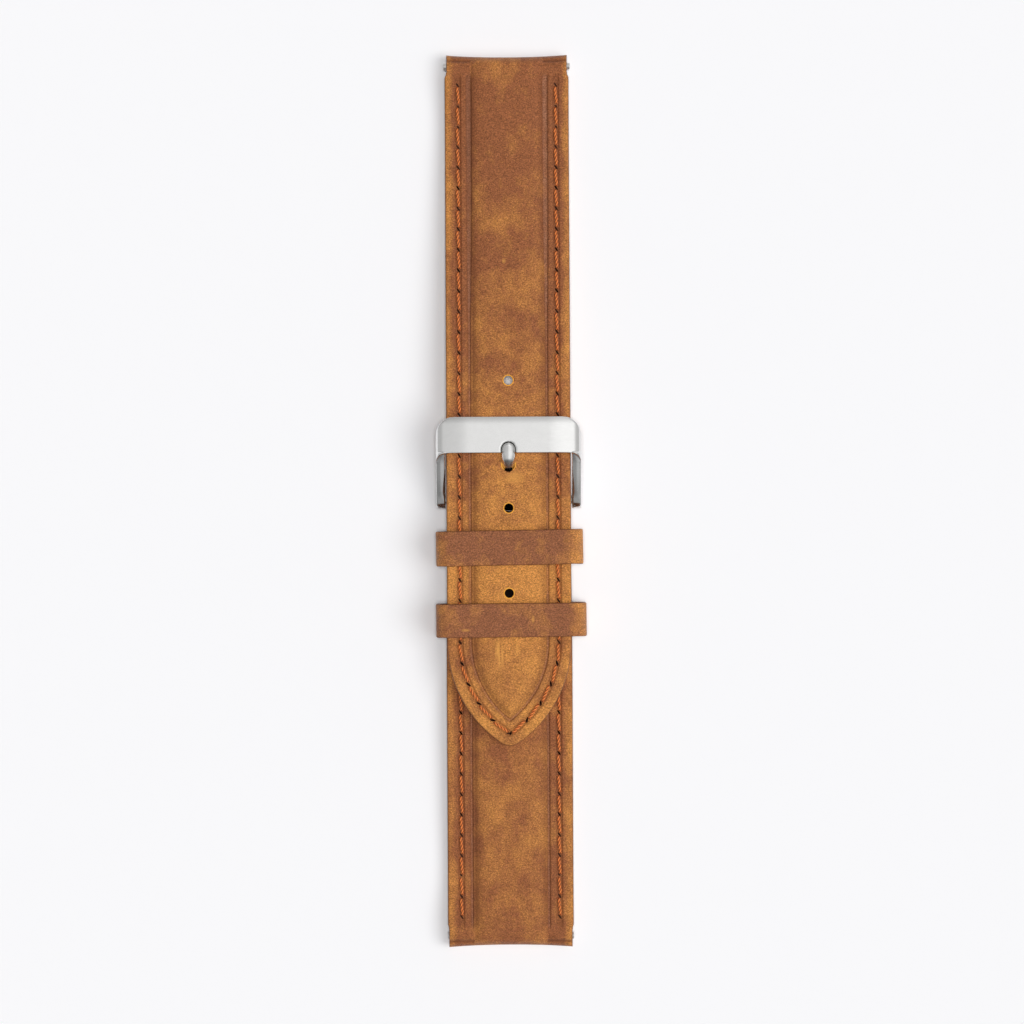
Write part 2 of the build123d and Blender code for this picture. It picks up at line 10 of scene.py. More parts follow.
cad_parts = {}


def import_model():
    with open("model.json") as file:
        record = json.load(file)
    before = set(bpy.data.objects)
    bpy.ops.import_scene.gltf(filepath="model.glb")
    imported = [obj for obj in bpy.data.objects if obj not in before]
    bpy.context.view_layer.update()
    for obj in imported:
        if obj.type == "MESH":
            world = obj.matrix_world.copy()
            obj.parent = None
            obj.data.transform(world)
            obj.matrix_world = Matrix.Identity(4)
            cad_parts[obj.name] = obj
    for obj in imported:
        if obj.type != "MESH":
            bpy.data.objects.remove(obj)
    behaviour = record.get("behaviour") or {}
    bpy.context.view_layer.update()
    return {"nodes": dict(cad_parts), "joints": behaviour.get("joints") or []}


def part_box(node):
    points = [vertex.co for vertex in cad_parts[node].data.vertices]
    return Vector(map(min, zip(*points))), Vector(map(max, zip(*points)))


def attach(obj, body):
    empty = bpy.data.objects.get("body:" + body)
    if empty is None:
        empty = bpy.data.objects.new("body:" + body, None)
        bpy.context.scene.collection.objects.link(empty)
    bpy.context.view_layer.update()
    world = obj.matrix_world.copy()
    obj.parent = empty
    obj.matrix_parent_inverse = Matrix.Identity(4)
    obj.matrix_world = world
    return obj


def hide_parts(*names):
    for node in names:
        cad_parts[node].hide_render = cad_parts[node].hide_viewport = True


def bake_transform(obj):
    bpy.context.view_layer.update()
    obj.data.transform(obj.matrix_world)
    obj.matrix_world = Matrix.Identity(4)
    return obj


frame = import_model()

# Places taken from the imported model
joints = {j["name"]: j for j in frame["joints"]}
AXIS_Y, AXIS_Z = joints["strap_swing"]["pos_m"][1:]
LONG_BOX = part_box("long_upper_leather")
SHORT_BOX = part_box("short_upper_leather")
TONGUE_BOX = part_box("buckle_tongue")
HALF = (LONG_BOX[1][0] - LONG_BOX[0][0]) / 2
TONGUE_HALF = (TONGUE_BOX[1][0] - TONGUE_BOX[0][0]) / 2
LONG_REACH = LONG_BOX[1][1] - AXIS_Y
SHORT_REACH = AXIS_Y - SHORT_BOX[0][1]

# Section of the strap
MARGIN = 0.0020
CROWN = 0.00055
LUG_CROWN = 0.0007
LUG_EXTRA = 0.0002
LOOP_RADIUS = 0.00184
BORE = 0.00094
EDGE_ROUND = 0.00034
UNDER_ROUND = 0.00018
CROWN_X = 0.0057
CROWN_POWER_SHARE = 5.0
STITCH_X = 0.0079
GROOVE_HALF = 0.00036
GROOVE_SOFT = 0.00020
GROOVE_DEPTH = 0.00022
UNDER_GROOVE = 0.0003
CREASE_IN = 0.00612
CREASE_OUT = 0.00628
CREASE_WALL = 0.00022
CREASE_WIDEN_IN = 0.00028
CREASE_WIDEN_OUT = 0.00016
WIDEN_START = 0.022
WIDEN_END = 0.050
CREASE_DEPTH = 0.00030
SHOULDER_X = 0.00535
SHOULDER_WIDTH = 0.00050
# Columns of points across half the face, and across half the underside, as (first, last, count)
TOP_COLUMNS = (
    (0, 0.0048, 9), (0.0050, 0.0066, 25), (0.0068, 0.0088, 20), (0.0090, HALF - EDGE_ROUND, 4),
)
UNDER_COLUMNS = ((0.0095, 0.0088, 3), (0.0086, 0.0072, 12), (0.0060, 0, 5))
EDGE_STEPS = 5
UNDER_STEPS = 3

# Painted shade in the pressed lines: on their walls, and on each side their shoulder and their floor, more on
# the left as if lit from the right
WALL_SHADE_SHARE = 0.8
SHOULDER_SHADE_SHARES = {-1: 1.0, 1: 0.5}
FLOOR_SHADE_SHARES = {-1: 1.1, 1: 0}
# Painted shade on the floor of the stitches' groove, and the painted fold shadow at each lug end
GROOVE_FLOOR_SHADE_SHARE = 0.5
FOLD_SHADE_SHARE = 2

# How golden the face is along each piece, as (y, share): long, then short
LONG_TONES = (
    (-0.0400, 0.72), (-0.0345, 0.96), (-0.0285, 0.58), (-0.0225, 0.62), (-0.0136, 1.0), (-0.0030, 0.71),
    (0.0020, 0.62), (0.0100, 0.48), (0.0160, 0.42), (0.0280, 0.24), (0.0430, 0.14), (0.0600, 0.02),
    (0.0720, 0.06),
)
SHORT_TONES = ((-0.072, 0.24), (-0.060, 0.28), (-0.043, 0.30), (-0.038, 0.22), (0.0, 0.3))
MARGIN_TONE = 0.56
INNER_TONE = 0.26

# Ends and lengths, measured from the buckle's axis
RELIEF = 0.00028
SHORT_RELIEF = 0.00020
SHORT_SPREAD = 0.00014
SPREAD_START = 0.004
SPREAD_END = 0.026
RELIEF_LENGTH = 0.0031
RELIEF_SOFT = 0.0004
LUG_RAMP = 0.009
END_HOLLOW = 0.00042
END_PRESS_AT = 0.0010
END_PRESS_WIDTH = 0.00028
END_PRESS_DEPTH = 0.00024
TURN_BACK = 0.0065
LOOP_RAMP = 0.0042
SHORT_FLAT = 0.012
SHORT_RISE = 0.030
LONG_FLAT = 0.006
GAP = 0.00008
TIP_START = 0.02285
TIP_LENGTH = 0.01715
TIP_ROUND = 0.0024
TIP_ROUND_LEAST = 0.00015
TIP_NOSE_SHARE = 0.14
STRAP_BLUR = 0.0022
LEAST_HEIGHT = 2e-6
WELD_REACH = 1e-6
TIP_RINGS = 46
LONG_RINGS = 200
SHORT_RINGS = 150
END_RINGS = 22
END_LAST_SHARE = 0.94

# Stitching
STITCH_PITCH = 0.0033
STITCH_LENGTH = 0.00285
STITCH_END = 0.0049
SHORT_STITCH_START = 0.0046
PLY_RADIUS = 0.00013
PLY_OFFSET = 0.00011
PLY_TURNS = 2.1
STITCH_SLANT = 0.00015
STITCH_SINK = 0.00030
UNDER_SINK = 0.00020
STITCH_WOBBLE = 0.00009
WOBBLE_SCALE = 900
PLY_STEPS = 22
PLY_SIDES = 7
UPPER_THREAD = (PLY_RADIUS + PLY_OFFSET, STITCH_SINK)
UNDER_THREAD = (UNDER_GROOVE - PLY_RADIUS - PLY_OFFSET, UNDER_SINK)
NEEDLE_LONG = 0.00074
NEEDLE_WIDE = 0.00034
NEEDLE_SLANT = 0.000225
NEEDLE_LIFT = 0.00001
NEEDLE_SIDES = 12

# Holes
HOLE_REACH = 0.0055
HOLE_PITCH = 0.00684
HOLE_RADIUS = 0.00078
HOLE_STEPS = (-3, -2, -1, 1, 2)
RIM_PROFILE = (
    (0.00016, -0.00003), (0.00012, 0.00003), (0.00005, 0.00004), (-0.00002, 0.0), (-0.00006, -0.00010),
    (-0.00006, -0.00030),
)
RIM_WAVE_SHARE = 0.12
RIM_WAVES = 3
RIM_SIDES = 48
TONGUE_RIM_Y = 0.00585
TONGUE_RIM_HALF = 0.00105
RIM_REACH_SHARE = 0.82
CUTTER_SIDES = 40

# Marks of wear, as (centre, half size)
SCRATCHES = (((-0.0017, -0.0245), (0.0015, 0.0030)), ((0.0014, -0.0243), (0.0007, 0.0026)))
SCUFFS = (((-0.0006, 0.0386), (0.0004, 0.0005)), ((0.0009, 0.0038), (0.0020, 0.0013)))
KEEPER_SCUFFS = (((0.0038, -0.0190), (0.0003, 0.0008)), ((-0.0070, -0.0207), (0.0009, 0.0003)))

# Buckle: its bar from above, its arms from the side, and the grid that its edges are rounded on
BAR_Y = 0.00770
BAR_WIDTH = 0.00580
BAR_THICK = 0.0016
BAR_TOP = 0.00866
BAR_FALL_SHARE = 0.078
BAR_CORNER = 0.0030
BAR_FILLET = 0.00165
BAR_ROLL = 0.0012
BAR_LEVEL_HALF = 0.0064
BAR_END_DROP = 0.00040
BAR_LIP = 0.0013
BAR_LIP_DROP = 0.00016
NOTCH_HALF = 0.00120
NOTCH_DEPTH = 0.0018
NOTCH_DEEP = 0.00105
FRAME_HALF = 0.01165
ARM_WALL = 0.0014
ARM_EYE = 0.0014
ARM_NOSE = 0.00075
NOSE_Y = 0.0096
NOSE_Z = 0.00775
EYE_BORE = 0.00057
FRAME_VOXEL = 0.00009
FRAME_PASSES = 10
FRAME_SWELL = 0.00002
ARM_WAVE = 0.00006
ARM_CROWN = 0.00012
TONGUE_VOXEL = 0.00006
TONGUE_PASSES = 24
TONGUE_SWELL = 0.00009
TONGUE_CROWN = 0.00042
TONGUE_THICK = 0.0011
TONGUE_SHORTEN = 0.00026
TONGUE_WIDEN_SHARE = 1.05
ARM_FADE_SHARE = 0.15

# The tongue from the side, and its hole in the leather
TONGUE_RISE = 0.0051
TONGUE_RUN = 0.0060
TONGUE_BEND_Y = 0.00765
TONGUE_BEND_Z = 0.00790
TONGUE_HOLE_HALF = 0.00108
TONGUE_HOLE_DEEP = 0.00162
TONGUE_HOLE_FRONT = 0.00024
TONGUE_HOLE_ENDS = (-0.0070, 0.0044)

# Keepers
KEEPER_RUN = 24
KEEPER_CORNER = 8
KEEPER_BAND = 0.0011
KEEPER_SKIVE = 0.0005
KEEPER_OUTER_ROUND = 0.0020
KEEPER_INNER_ROUND = 0.0009
KEEPER_EDGE = 0.00022
KEEPER_WIDTH_FIXED = 0.0056
KEEPER_WIDTH_FREE = 0.0054
FIXED_SKEW = math.radians(0.8)
FREE_SKEW = math.radians(0.4)
FIXED_SHIFT = (0.00010, 0.00010)
FREE_SHIFT = (0.00033, 0.00016)
KEEPER_WAVE = 0.00006
KEEPER_WAVE_SCALE = 180
KEEPER_TONE = 0.02
KEEPER_LEFT_TONE = 0.34
KEEPER_LIT_END_TONE = 0.56
KEEPER_LEFT_REACH = 0.0040
KEEPER_RIGHT_REACH = 0.0038
KEEPER_RIGHT_FULL = 0.0010

# Noises of the leather, as (scale per millimetre, detail, roughness)
PATCHES = (0.14, 5.0, 0.62)
CLOUDS = (0.55, 4.0, 0.65)
GRAIN = (4.0, 2.0, 0.7)
SPECKS = (5.4, 2.0, 0.7)
PALE_FLECKS = (3.4, 3.0, 0.75)
DARK_FLECKS = (2.0, 4.0, 0.75)
RUBS = (1.1, 3.0, 0.7)
STREAKS = (1.0, 2.0, 0.6)
PATCH_SPREAD = 0.36
CLOUD_SPREAD = 0.22
FLECK_SHARE = 0.24
GRAIN_LEVELS = (0.66, 1.35)
SPECK_LEVELS = (0.70, 1.33)
RUB_LEVELS = (0.35, 0.82)
LEATHER_BUMP = 0.000035
FIBRE_BUMP = 0.00002
RAW_BUMP = 0.00003
POLISH_BUMP = 0.0000006
TURNED_BUMP = 0.000001

# Table and suns: name, share of the table's light, and tilt, width and turn in degrees
FLOOR_HALF = 1.5
FLOOR_DROP = 0.00001
SUNS = (("overhead", 0.50, 0, 12, 0), ("from_the_right", 0.36, 33, 42, -12))

# Camera, worked out from the photograph: 6.18 pixels to a millimetre over 1024 pixels
VIEW_WIDTH = 0.16570
VIEW_CENTRE = (0.00052, -0.00178)
VIEW_ROLL = math.radians(-0.30)
VIEW_HEIGHT = 0.80
SENSOR_MM = 36

TIP_ARC = (HALF**2 + TIP_LENGTH**2) / (2 * HALF)
SHORT_LUG = SHORT_REACH - LOOP_RADIUS
LONG_LUG = LONG_REACH - LOOP_RADIUS
SHORT_LIFT = AXIS_Z - LOOP_RADIUS
LONG_TOP = AXIS_Z + LOOP_RADIUS + GAP
TIP_BASE = SHORT_LIFT + MARGIN + CROWN + GAP
MM = 0.001


def srgb(red, green, blue):
    """A colour given as 0 to 255 screen values, as linear RGBA."""
    def linear(value):
        value /= 255
        return value / 12.92 if value <= 0.04045 else ((value + 0.055) / 1.055) ** 2.4

    return (linear(red), linear(green), linear(blue), 1)


def between(knots, s):
    """Straight-line value at s among knots of (place, value), level past both ends."""
    if s <= knots[0][0]:
        return knots[0][1]
    for (s0, v0), (s1, v1) in zip(knots, knots[1:]):
        if s <= s1:
            return v0 + (v1 - v0) * (s - s0) / (s1 - s0)
    return knots[-1][1]


def blurred(knots, s):
    """The same value with its corners rounded off, as leather bends."""
    return sum(between(knots, s + STRAP_BLUR * k / 3) for k in range(-3, 4)) / 7


def smooth(low, high, value):
    """0 up to low and 1 from high on, with an eased rise between."""
    share = min(max((value - low) / (high - low), 0), 1)
    return share * share * (3 - 2 * share)


def spread(first, last, count):
    """As many even places from first to last."""
    return [first + (last - first) * k / (count - 1) for k in range(count)]


def columns_of(runs):
    """The places of several runs of (first, last, count), one after another."""
    return [x for run in runs for x in spread(*run)]


# Turns of the rings round an end's loop, as shares of a quarter turn
END_SHARES = spread(0, END_LAST_SHARE, END_RINGS)

# Shape along each piece, s being the distance from the buckle's axis towards its lug end.
# Base, height and crown are knots of (s, value). Relief draws the sides in between the lugs, spread
# lets them out again, and the stitches start at sewn_from.
Run = namedtuple("Run", "side reach lug base height crown tones relief spread sewn_from")
short_rise = SHORT_REACH - SHORT_FLAT - SHORT_RISE
SHORT = Run(
    side=-1,
    reach=SHORT_REACH,
    lug=SHORT_LUG,
    base=[(short_rise, SHORT_LIFT), (SHORT_REACH - SHORT_FLAT, 0)],
    height=[
        (0, 2 * LOOP_RADIUS), (LOOP_RAMP, MARGIN), (short_rise, MARGIN),
        (SHORT_LUG - LUG_RAMP, MARGIN + LUG_EXTRA), (SHORT_LUG, 2 * LOOP_RADIUS),
    ],
    crown=[(0, 0), (LOOP_RAMP, CROWN), (short_rise, CROWN), (SHORT_LUG - LUG_RAMP, LUG_CROWN)],
    tones=SHORT_TONES,
    relief=SHORT_RELIEF,
    spread=SHORT_SPREAD,
    sewn_from=SHORT_STITCH_START,
)
LONG = Run(
    side=1,
    reach=LONG_REACH,
    lug=LONG_LUG,
    base=[(-TIP_START, TIP_BASE), (0, LONG_TOP), (LONG_REACH - LONG_FLAT, 0)],
    height=[(0, MARGIN), (LONG_LUG - LUG_RAMP, MARGIN + LUG_EXTRA), (LONG_LUG, 2 * LOOP_RADIUS)],
    crown=[(0, CROWN), (LONG_LUG - LUG_RAMP, LUG_CROWN)],
    tones=LONG_TONES,
    relief=RELIEF,
    spread=0,
    sewn_from=-TIP_START,
)


def circle(sides):
    """The cosine and sine of as many even turns."""
    turns = [2 * math.pi * k / sides for k in range(sides)]
    return [(math.cos(turn), math.sin(turn)) for turn in turns]


def arc_points(centre, radius, start, end, count=16):
    """Points round an arc, angles in degrees."""
    turns = [math.radians(a) for a in spread(start, end, count)]
    return [(centre[0] + radius * math.cos(a), centre[1] + radius * math.sin(a)) for a in turns]


def bump_at(x, centre, width):
    """1 at the centre, dying away over the width."""
    return math.exp(-(((x - centre) / width) ** 2))


def crease_edges(wide):
    """Both edges of the floor of the pressed line beside the crown. Wide is 1 where it is widest."""
    return CREASE_IN - wide * CREASE_WIDEN_IN, CREASE_OUT + wide * CREASE_WIDEN_OUT


def crease_share(x, wide):
    """1 on the pressed line's flat floor, falling to 0 over its walls."""
    near, far = crease_edges(wide)
    return smooth(near - CREASE_WALL, near, x) * (1 - smooth(far, far + CREASE_WALL, x))


def groove_share(x):
    """1 in the stitches' groove, falling to 0 over its walls."""
    return 1 - smooth(GROOVE_HALF, GROOVE_HALF + GROOVE_SOFT, abs(x - STITCH_X))


def margin_share(x):
    """1 on the margin, outside the crown."""
    return smooth(CROWN_X, CROWN_X + GROOVE_HALF, x)


def edge_share(x):
    """1 at the side, falling to 0 just inside it."""
    return smooth(HALF - 2 * EDGE_ROUND, HALF, x)


def top_height(x, height, crown, pressed, wide=0):
    """Height of the upper face at distance x from the middle, over the underside."""
    rise = crown * max(0, 1 - (x / CROWN_X) ** CROWN_POWER_SHARE) if x < CROWN_X else 0
    lines = GROOVE_DEPTH * groove_share(x) + CREASE_DEPTH * crease_share(x, wide)
    return height + rise - lines * pressed


def half_ring(height, crown, pressed, wide=0):
    """Right half of the section, from the middle of the face round the edge to the middle underneath.

    Each point is (x, z, edge, under): edge is 1 on the painted side, under is 1 on the lining."""
    points = []
    edge_round = min(EDGE_ROUND, 0.5 * height)
    under_round = min(UNDER_ROUND, 0.3 * height)
    for x in columns_of(TOP_COLUMNS):
        points.append((x, top_height(x, height, crown, pressed, wide), 0, 0))
    for k in range(1, EDGE_STEPS + 1):
        turn = math.pi / 2 * k / EDGE_STEPS
        x = HALF - EDGE_ROUND * (1 - math.sin(turn))
        points.append((x, height - edge_round * (1 - math.cos(turn)), smooth(1, EDGE_STEPS - 1, k), 0))
    points.append((HALF, (height - edge_round + under_round) / 2, 1, 0))
    for k in range(UNDER_STEPS + 1):
        share = k / UNDER_STEPS
        turn = math.pi / 2 * k / UNDER_STEPS
        x = HALF - UNDER_ROUND * (1 - math.cos(turn))
        points.append((x, under_round * (1 - math.sin(turn)), 1 - share, share))
    for x in columns_of(UNDER_COLUMNS):
        points.append((x, UNDER_GROOVE * pressed * groove_share(x), 0, 1))
    return points


def relief_at(run, s):
    """Share of the full drawing-in between the lugs."""
    start = run.reach - RELIEF_LENGTH
    return smooth(start - RELIEF_SOFT, start, s)


def hollow_at(x, end_share):
    """How far the end's edge is drawn back at x, most in the middle."""
    return END_HOLLOW * end_share * (1 - (x / HALF) ** 2)


def tip_point(inset, share):
    """Plan place on the pointed end's outline drawn in by inset: share 0 at its start, 1 at the point."""
    arc = TIP_ARC - inset
    side_x = TIP_ARC - HALF
    nose = max(TIP_ROUND - inset, TIP_ROUND_LEAST)
    if arc - nose <= side_x:
        return 0, 0
    drop = math.sqrt((arc - nose) ** 2 - side_x**2)
    sweep = math.atan2(drop, side_x)
    along = share / (1 - TIP_NOSE_SHARE)
    if along <= 1:
        turn = sweep * along
        return arc * math.cos(turn) - side_x, -arc * math.sin(turn)
    turn = sweep + (math.pi / 2 - sweep) * (share - 1 + TIP_NOSE_SHARE) / TIP_NOSE_SHARE
    return nose * math.cos(turn), -drop - nose * math.sin(turn)


class Skin:
    """Collects rings of points into one closed mesh with the values that its materials read."""

    names = ("edge", "under", "crease", "groove", "tone", "dim")

    def __init__(self, shade=lambda point: 0.0):
        self.shade = shade
        self.places = []
        self.values = {name: [] for name in self.names}
        self.rings = 0

    def ring(self, half, place, run, pressed, folded=0, wide=0):
        """half is a half ring; place(x, z) gives the right-hand point as a Vector."""
        mirrored = [(-1, point) for point in reversed(half[1:-1])]
        for side, (x, z, edge, under) in [(1, point) for point in half] + mirrored:
            point = place(x, z)
            point.x *= side
            self.places.append(point)
            face = (1 - under) * (1 - edge)
            lines = crease_share(x, wide)
            near, far = crease_edges(wide)
            # Painted shade: the creases' walls, their shoulder and floor more on the left as if lit from the
            # right, the stitches' groove, and the fold shadow at the lug end
            wall = WALL_SHADE_SHARE * bump_at(x, near - 1.6 * CREASE_WALL, 1.6 * CREASE_WALL)
            wall += WALL_SHADE_SHARE * bump_at(x, far + CREASE_WALL, 0.5 * CREASE_WALL)
            wall += SHOULDER_SHADE_SHARES[side] * (1 - wide) * bump_at(x, SHOULDER_X, SHOULDER_WIDTH)
            wall += FLOOR_SHADE_SHARES[side] * wide * lines
            off = abs(x - STITCH_X)
            dip = bump_at(off, GROOVE_HALF, GROOVE_SOFT) + GROOVE_FLOOR_SHADE_SHARE * (off < GROOVE_HALF)
            fold = folded * margin_share(x)
            groove = ((min(dip, 1) + wall) * pressed + FOLD_SHADE_SHARE * fold) * face
            tone = tone_at(run, x, point.y)
            values = (edge, under, lines * face * pressed, groove, tone, self.shade(point))
            for name, value in zip(self.names, values):
                self.values[name].append(value)
        self.rings += 1

    def cap(self, ring, count):
        """Faces that close a ring, its upper and lower chains joined like a zip."""
        first = ring * count
        right = max(range(count // 2), key=lambda k: self.places[first + k].x)
        upper_chain = [(k - right) % count for k in range(2 * right + 1)]
        lower_chain = [count - right - k for k in range(count - 2 * right + 1)]
        faces, i, j = [], 0, 0
        while i < len(upper_chain) - 1 or j < len(lower_chain) - 1:
            next_up = upper_chain[min(i + 1, len(upper_chain) - 1)]
            next_low = lower_chain[min(j + 1, len(lower_chain) - 1)]
            up_first = i == 0 or self.places[first + next_up].x < self.places[first + next_low].x
            if j == len(lower_chain) - 1 or (i < len(upper_chain) - 1 and up_first):
                corners = (upper_chain[i], lower_chain[j], next_up)
                i += 1
            else:
                corners = (upper_chain[i], lower_chain[j], next_low)
                j += 1
            if len(set(corners)) == 3:
                faces.append(tuple(first + c for c in corners))
        return faces

    def mesh(self, name, material, lined, capped):
        """The piece, closed at the capped rings. Lined says between which places in Y it has a lining."""
        count = len(self.places) // self.rings
        faces = []
        for ring in capped:
            faces += self.cap(ring % self.rings, count)
        faces += ring_faces(self.rings, count)
        piece = mesh_piece(name, self.places, faces, material, calf, hole_wall_shade)
        for label, values in self.values.items():
            store(piece, label, values)
        under = self.values["under"]
        for polygon in piece.data.polygons:
            share = sum(under[v] for v in polygon.vertices) / len(polygon.vertices)
            polygon.material_index = int(share > 0.9 and lined[0] < polygon.center.y < lined[1])
        piece.modifiers.new("weld", "WELD").merge_threshold = WELD_REACH
        bake(piece)
        face_outwards(piece)
        return piece


def bake(piece):
    """Applies every modifier on a piece."""
    depsgraph = bpy.context.evaluated_depsgraph_get()
    mesh = bpy.data.meshes.new_from_object(piece.evaluated_get(depsgraph), depsgraph=depsgraph)
    piece.modifiers.clear()
    piece.data = mesh


def face_outwards(piece):
    """Turns every face of closed forms outwards."""
    mesh = bmesh.new()
    mesh.from_mesh(piece.data)
    bmesh.ops.recalc_face_normals(mesh, faces=mesh.faces)
    mesh.to_mesh(piece.data)
    mesh.free()


def placed(name, data):
    """A new object in the scene."""
    piece = bpy.data.objects.new(name, data)
    bpy.context.collection.objects.link(piece)
    return piece


def mesh_piece(name, places, faces, *materials, smoothed=True):
    mesh = bpy.data.meshes.new(name)
    mesh.from_pydata(places, [], faces)
    for material in materials:
        mesh.materials.append(material)
    for polygon in mesh.polygons:
        polygon.use_smooth = smoothed
    return placed(name, mesh)


def store(piece, label, values):
    """Keeps a number at each vertex for the materials to read."""
    piece.data.attributes.new(label, "FLOAT", "POINT").data.foreach_set("value", values)


def store_places(piece):
    """Keeps each vertex's place at rest, in millimetres, for the materials to read."""
    data = piece.data.attributes.new("place", "FLOAT_VECTOR", "POINT").data
    values = [c / MM for vertex in piece.data.vertices for c in vertex.co]
    data.foreach_set("vector", values)


def ring_faces(rings, count, first=0, looped=False):
    """Walls between rings of as many points. Looped joins the last ring to the first."""
    faces = []
    for r in range(rings if looped else rings - 1):
        a, b = first + r * count, first + (r + 1) % rings * count
        for k in range(count):
            m = (k + 1) % count
            faces.append((a + k, a + m, b + m, b + k))
    return faces


def tube_faces(count):
    """Walls and ends between two outlines of as many points."""
    return ring_faces(2, count) + [tuple(reversed(range(count))), tuple(range(count, 2 * count))]


def rod_mesh(name, start, end, radius, material):
    """A plain round cutter between two points."""
    start, end = Vector(start), Vector(end)
    turn = (end - start).to_track_quat("Z", "Y").to_matrix()
    rim = [turn @ Vector((radius * a, radius * b, 0)) for a, b in circle(CUTTER_SIDES)]
    places = [centre + point for centre in (start, end) for point in rim]
    return mesh_piece(name, places, tube_faces(CUTTER_SIDES), material)


def bar_cutter(y, z, radius, material):
    """A cutter for a spring bar's hole, right across the strap."""
    return rod_mesh("bore", (-2 * HALF, y, z), (2 * HALF, y, z), radius, material)


def box_mesh(name, low, high, material):
    (x0, y0, z0), (x1, y1, z1) = low, high
    places = [Vector((x, y, z)) for z in (z0, z1) for y in (y0, y1) for x in (x0, x1)]
    faces = [(0, 2, 3, 1), (4, 5, 7, 6), (0, 1, 5, 4), (2, 6, 7, 3), (0, 4, 6, 2), (1, 3, 7, 5)]
    return mesh_piece(name, places, faces, material, smoothed=False)


def carve(piece, cutters):
    """Cuts the cutters out of a piece. Their walls take the piece's last material."""
    last = len(piece.data.materials) - 1
    for cutter in cutters:
        face_outwards(cutter)
        while len(cutter.data.materials) <= last:
            cutter.data.materials.append(cutter.data.materials[0])
        for polygon in cutter.data.polygons:
            polygon.material_index = last
        cut = piece.modifiers.new("cut", "BOOLEAN")
        cut.object = cutter
        cut.solver = "EXACT"
        cut.material_mode = "INDEX"
    bake(piece)
    for cutter in cutters:
        bpy.data.objects.remove(cutter)


# Materials


class Graph:
    """Short ways to add and join shader nodes."""

    def __init__(self, owner):
        owner.use_nodes = True
        self.owner = owner
        self.tree = owner.node_tree
        self.shader = self.tree.nodes.get("Principled BSDF")

    def add(self, kind, **values):
        node = self.tree.nodes.new("ShaderNode" + kind)
        for key, value in values.items():
            setattr(node, key, value)
        return node

    def feed(self, sockets, values):
        """Joins each value to its socket, or sets the socket to it."""
        for socket, value in zip(sockets, values):
            if isinstance(value, bpy.types.NodeSocket):
                self.tree.links.new(value, socket)
            else:
                socket.default_value = value

    def set(self, node, **values):
        self.feed([node.inputs[key.replace("_", " ")] for key in values], values.values())
        return node

    def value(self, name):
        return self.add("Attribute", attribute_name=name).outputs["Fac"]

    def place(self):
        return self.add("Attribute", attribute_name="place").outputs["Vector"]

    def turned(self, vector, angle, scale):
        """The vector turned about Z and stretched."""
        return self.set(self.add("Mapping"), Vector=vector, Rotation=(0, 0, angle), Scale=scale).outputs[0]

    def spot(self, place, centre, half, inner):
        """1 within inner times half of the centre, falling to 0 at half, whatever the height."""
        steps = [self.add("VectorMath", operation=kind) for kind in ("SUBTRACT", "MULTIPLY", "LENGTH")]
        moved, scaled, length = steps
        self.feed(moved.inputs, (place, (centre[0] / MM, centre[1] / MM, 0)))
        self.feed(scaled.inputs, (moved.outputs["Vector"], (MM / half[0], MM / half[1], 0)))
        self.feed(length.inputs, (scaled.outputs["Vector"],))
        return self.ramp(length.outputs["Value"], inner, 1.0, 1.0, 0.0)

    def noise(self, vector, scale, detail=3.0, rough=0.55):
        node = self.set(self.add("TexNoise"), Vector=vector, Scale=scale, Detail=detail, Roughness=rough)
        return node.outputs["Fac"]

    def cells(self, vector, scale):
        node = self.set(self.add("TexVoronoi", feature="DISTANCE_TO_EDGE"), Vector=vector, Scale=scale)
        return node.outputs["Distance"]

    def ramp(self, fac, low, high, to_low=0.0, to_high=1.0, kind="LINEAR"):
        node = self.add("MapRange", interpolation_type=kind)
        self.set(node, Value=fac, From_Min=low, From_Max=high, To_Min=to_low, To_Max=to_high)
        return node.outputs["Result"]

    def maths(self, operation, a, b):
        node = self.add("Math", operation=operation)
        self.feed(node.inputs, (a, b))
        return node.outputs[0]

    def product(self, a, b):
        return self.maths("MULTIPLY", a, b)

    def mix(self, fac, a, b, blend="MIX"):
        node = self.add("Mix", data_type="RGBA", blend_type=blend)
        self.feed((node.inputs[0], node.inputs[6], node.inputs[7]), (fac, a, b))
        return node.outputs[2]

    def dapple(self, colour, fac, low, high, levels):
        """The colour times a grey that runs between two levels as fac goes from low to high."""
        node = self.add("CombineColor")
        self.feed(node.inputs, [self.ramp(fac, low, high, *levels)] * len(node.inputs))
        return self.mix(1.0, colour, node.outputs[0], "MULTIPLY")

    def bump(self, height, distance):
        return self.set(self.add("Bump"), Height=height, Distance=distance, Strength=1.0).outputs["Normal"]


def paint(name):
    """The graph of a new material."""
    return Graph(bpy.data.materials.new(name))


BROWN = srgb(144, 88, 56)
RUSSET = srgb(142, 90, 62)
GOLD = srgb(203, 138, 72)
FLECK = srgb(206, 142, 66)
UMBER = srgb(112, 66, 44)
# Burnished crease colour, partly a painted sheen
BURNISHED_SHEEN = srgb(150, 104, 80)
EDGE_PAINT = srgb(104, 62, 40)
# Painted shade for the grooves and pressed lines
GROOVE_SHADE = srgb(104, 60, 38)
SCRATCH = srgb(228, 162, 84)
RAW = srgb(255, 190, 84)
# Near black, for painted shade down the holes
HOLE_SHADE_BLACK = srgb(20, 11, 6)


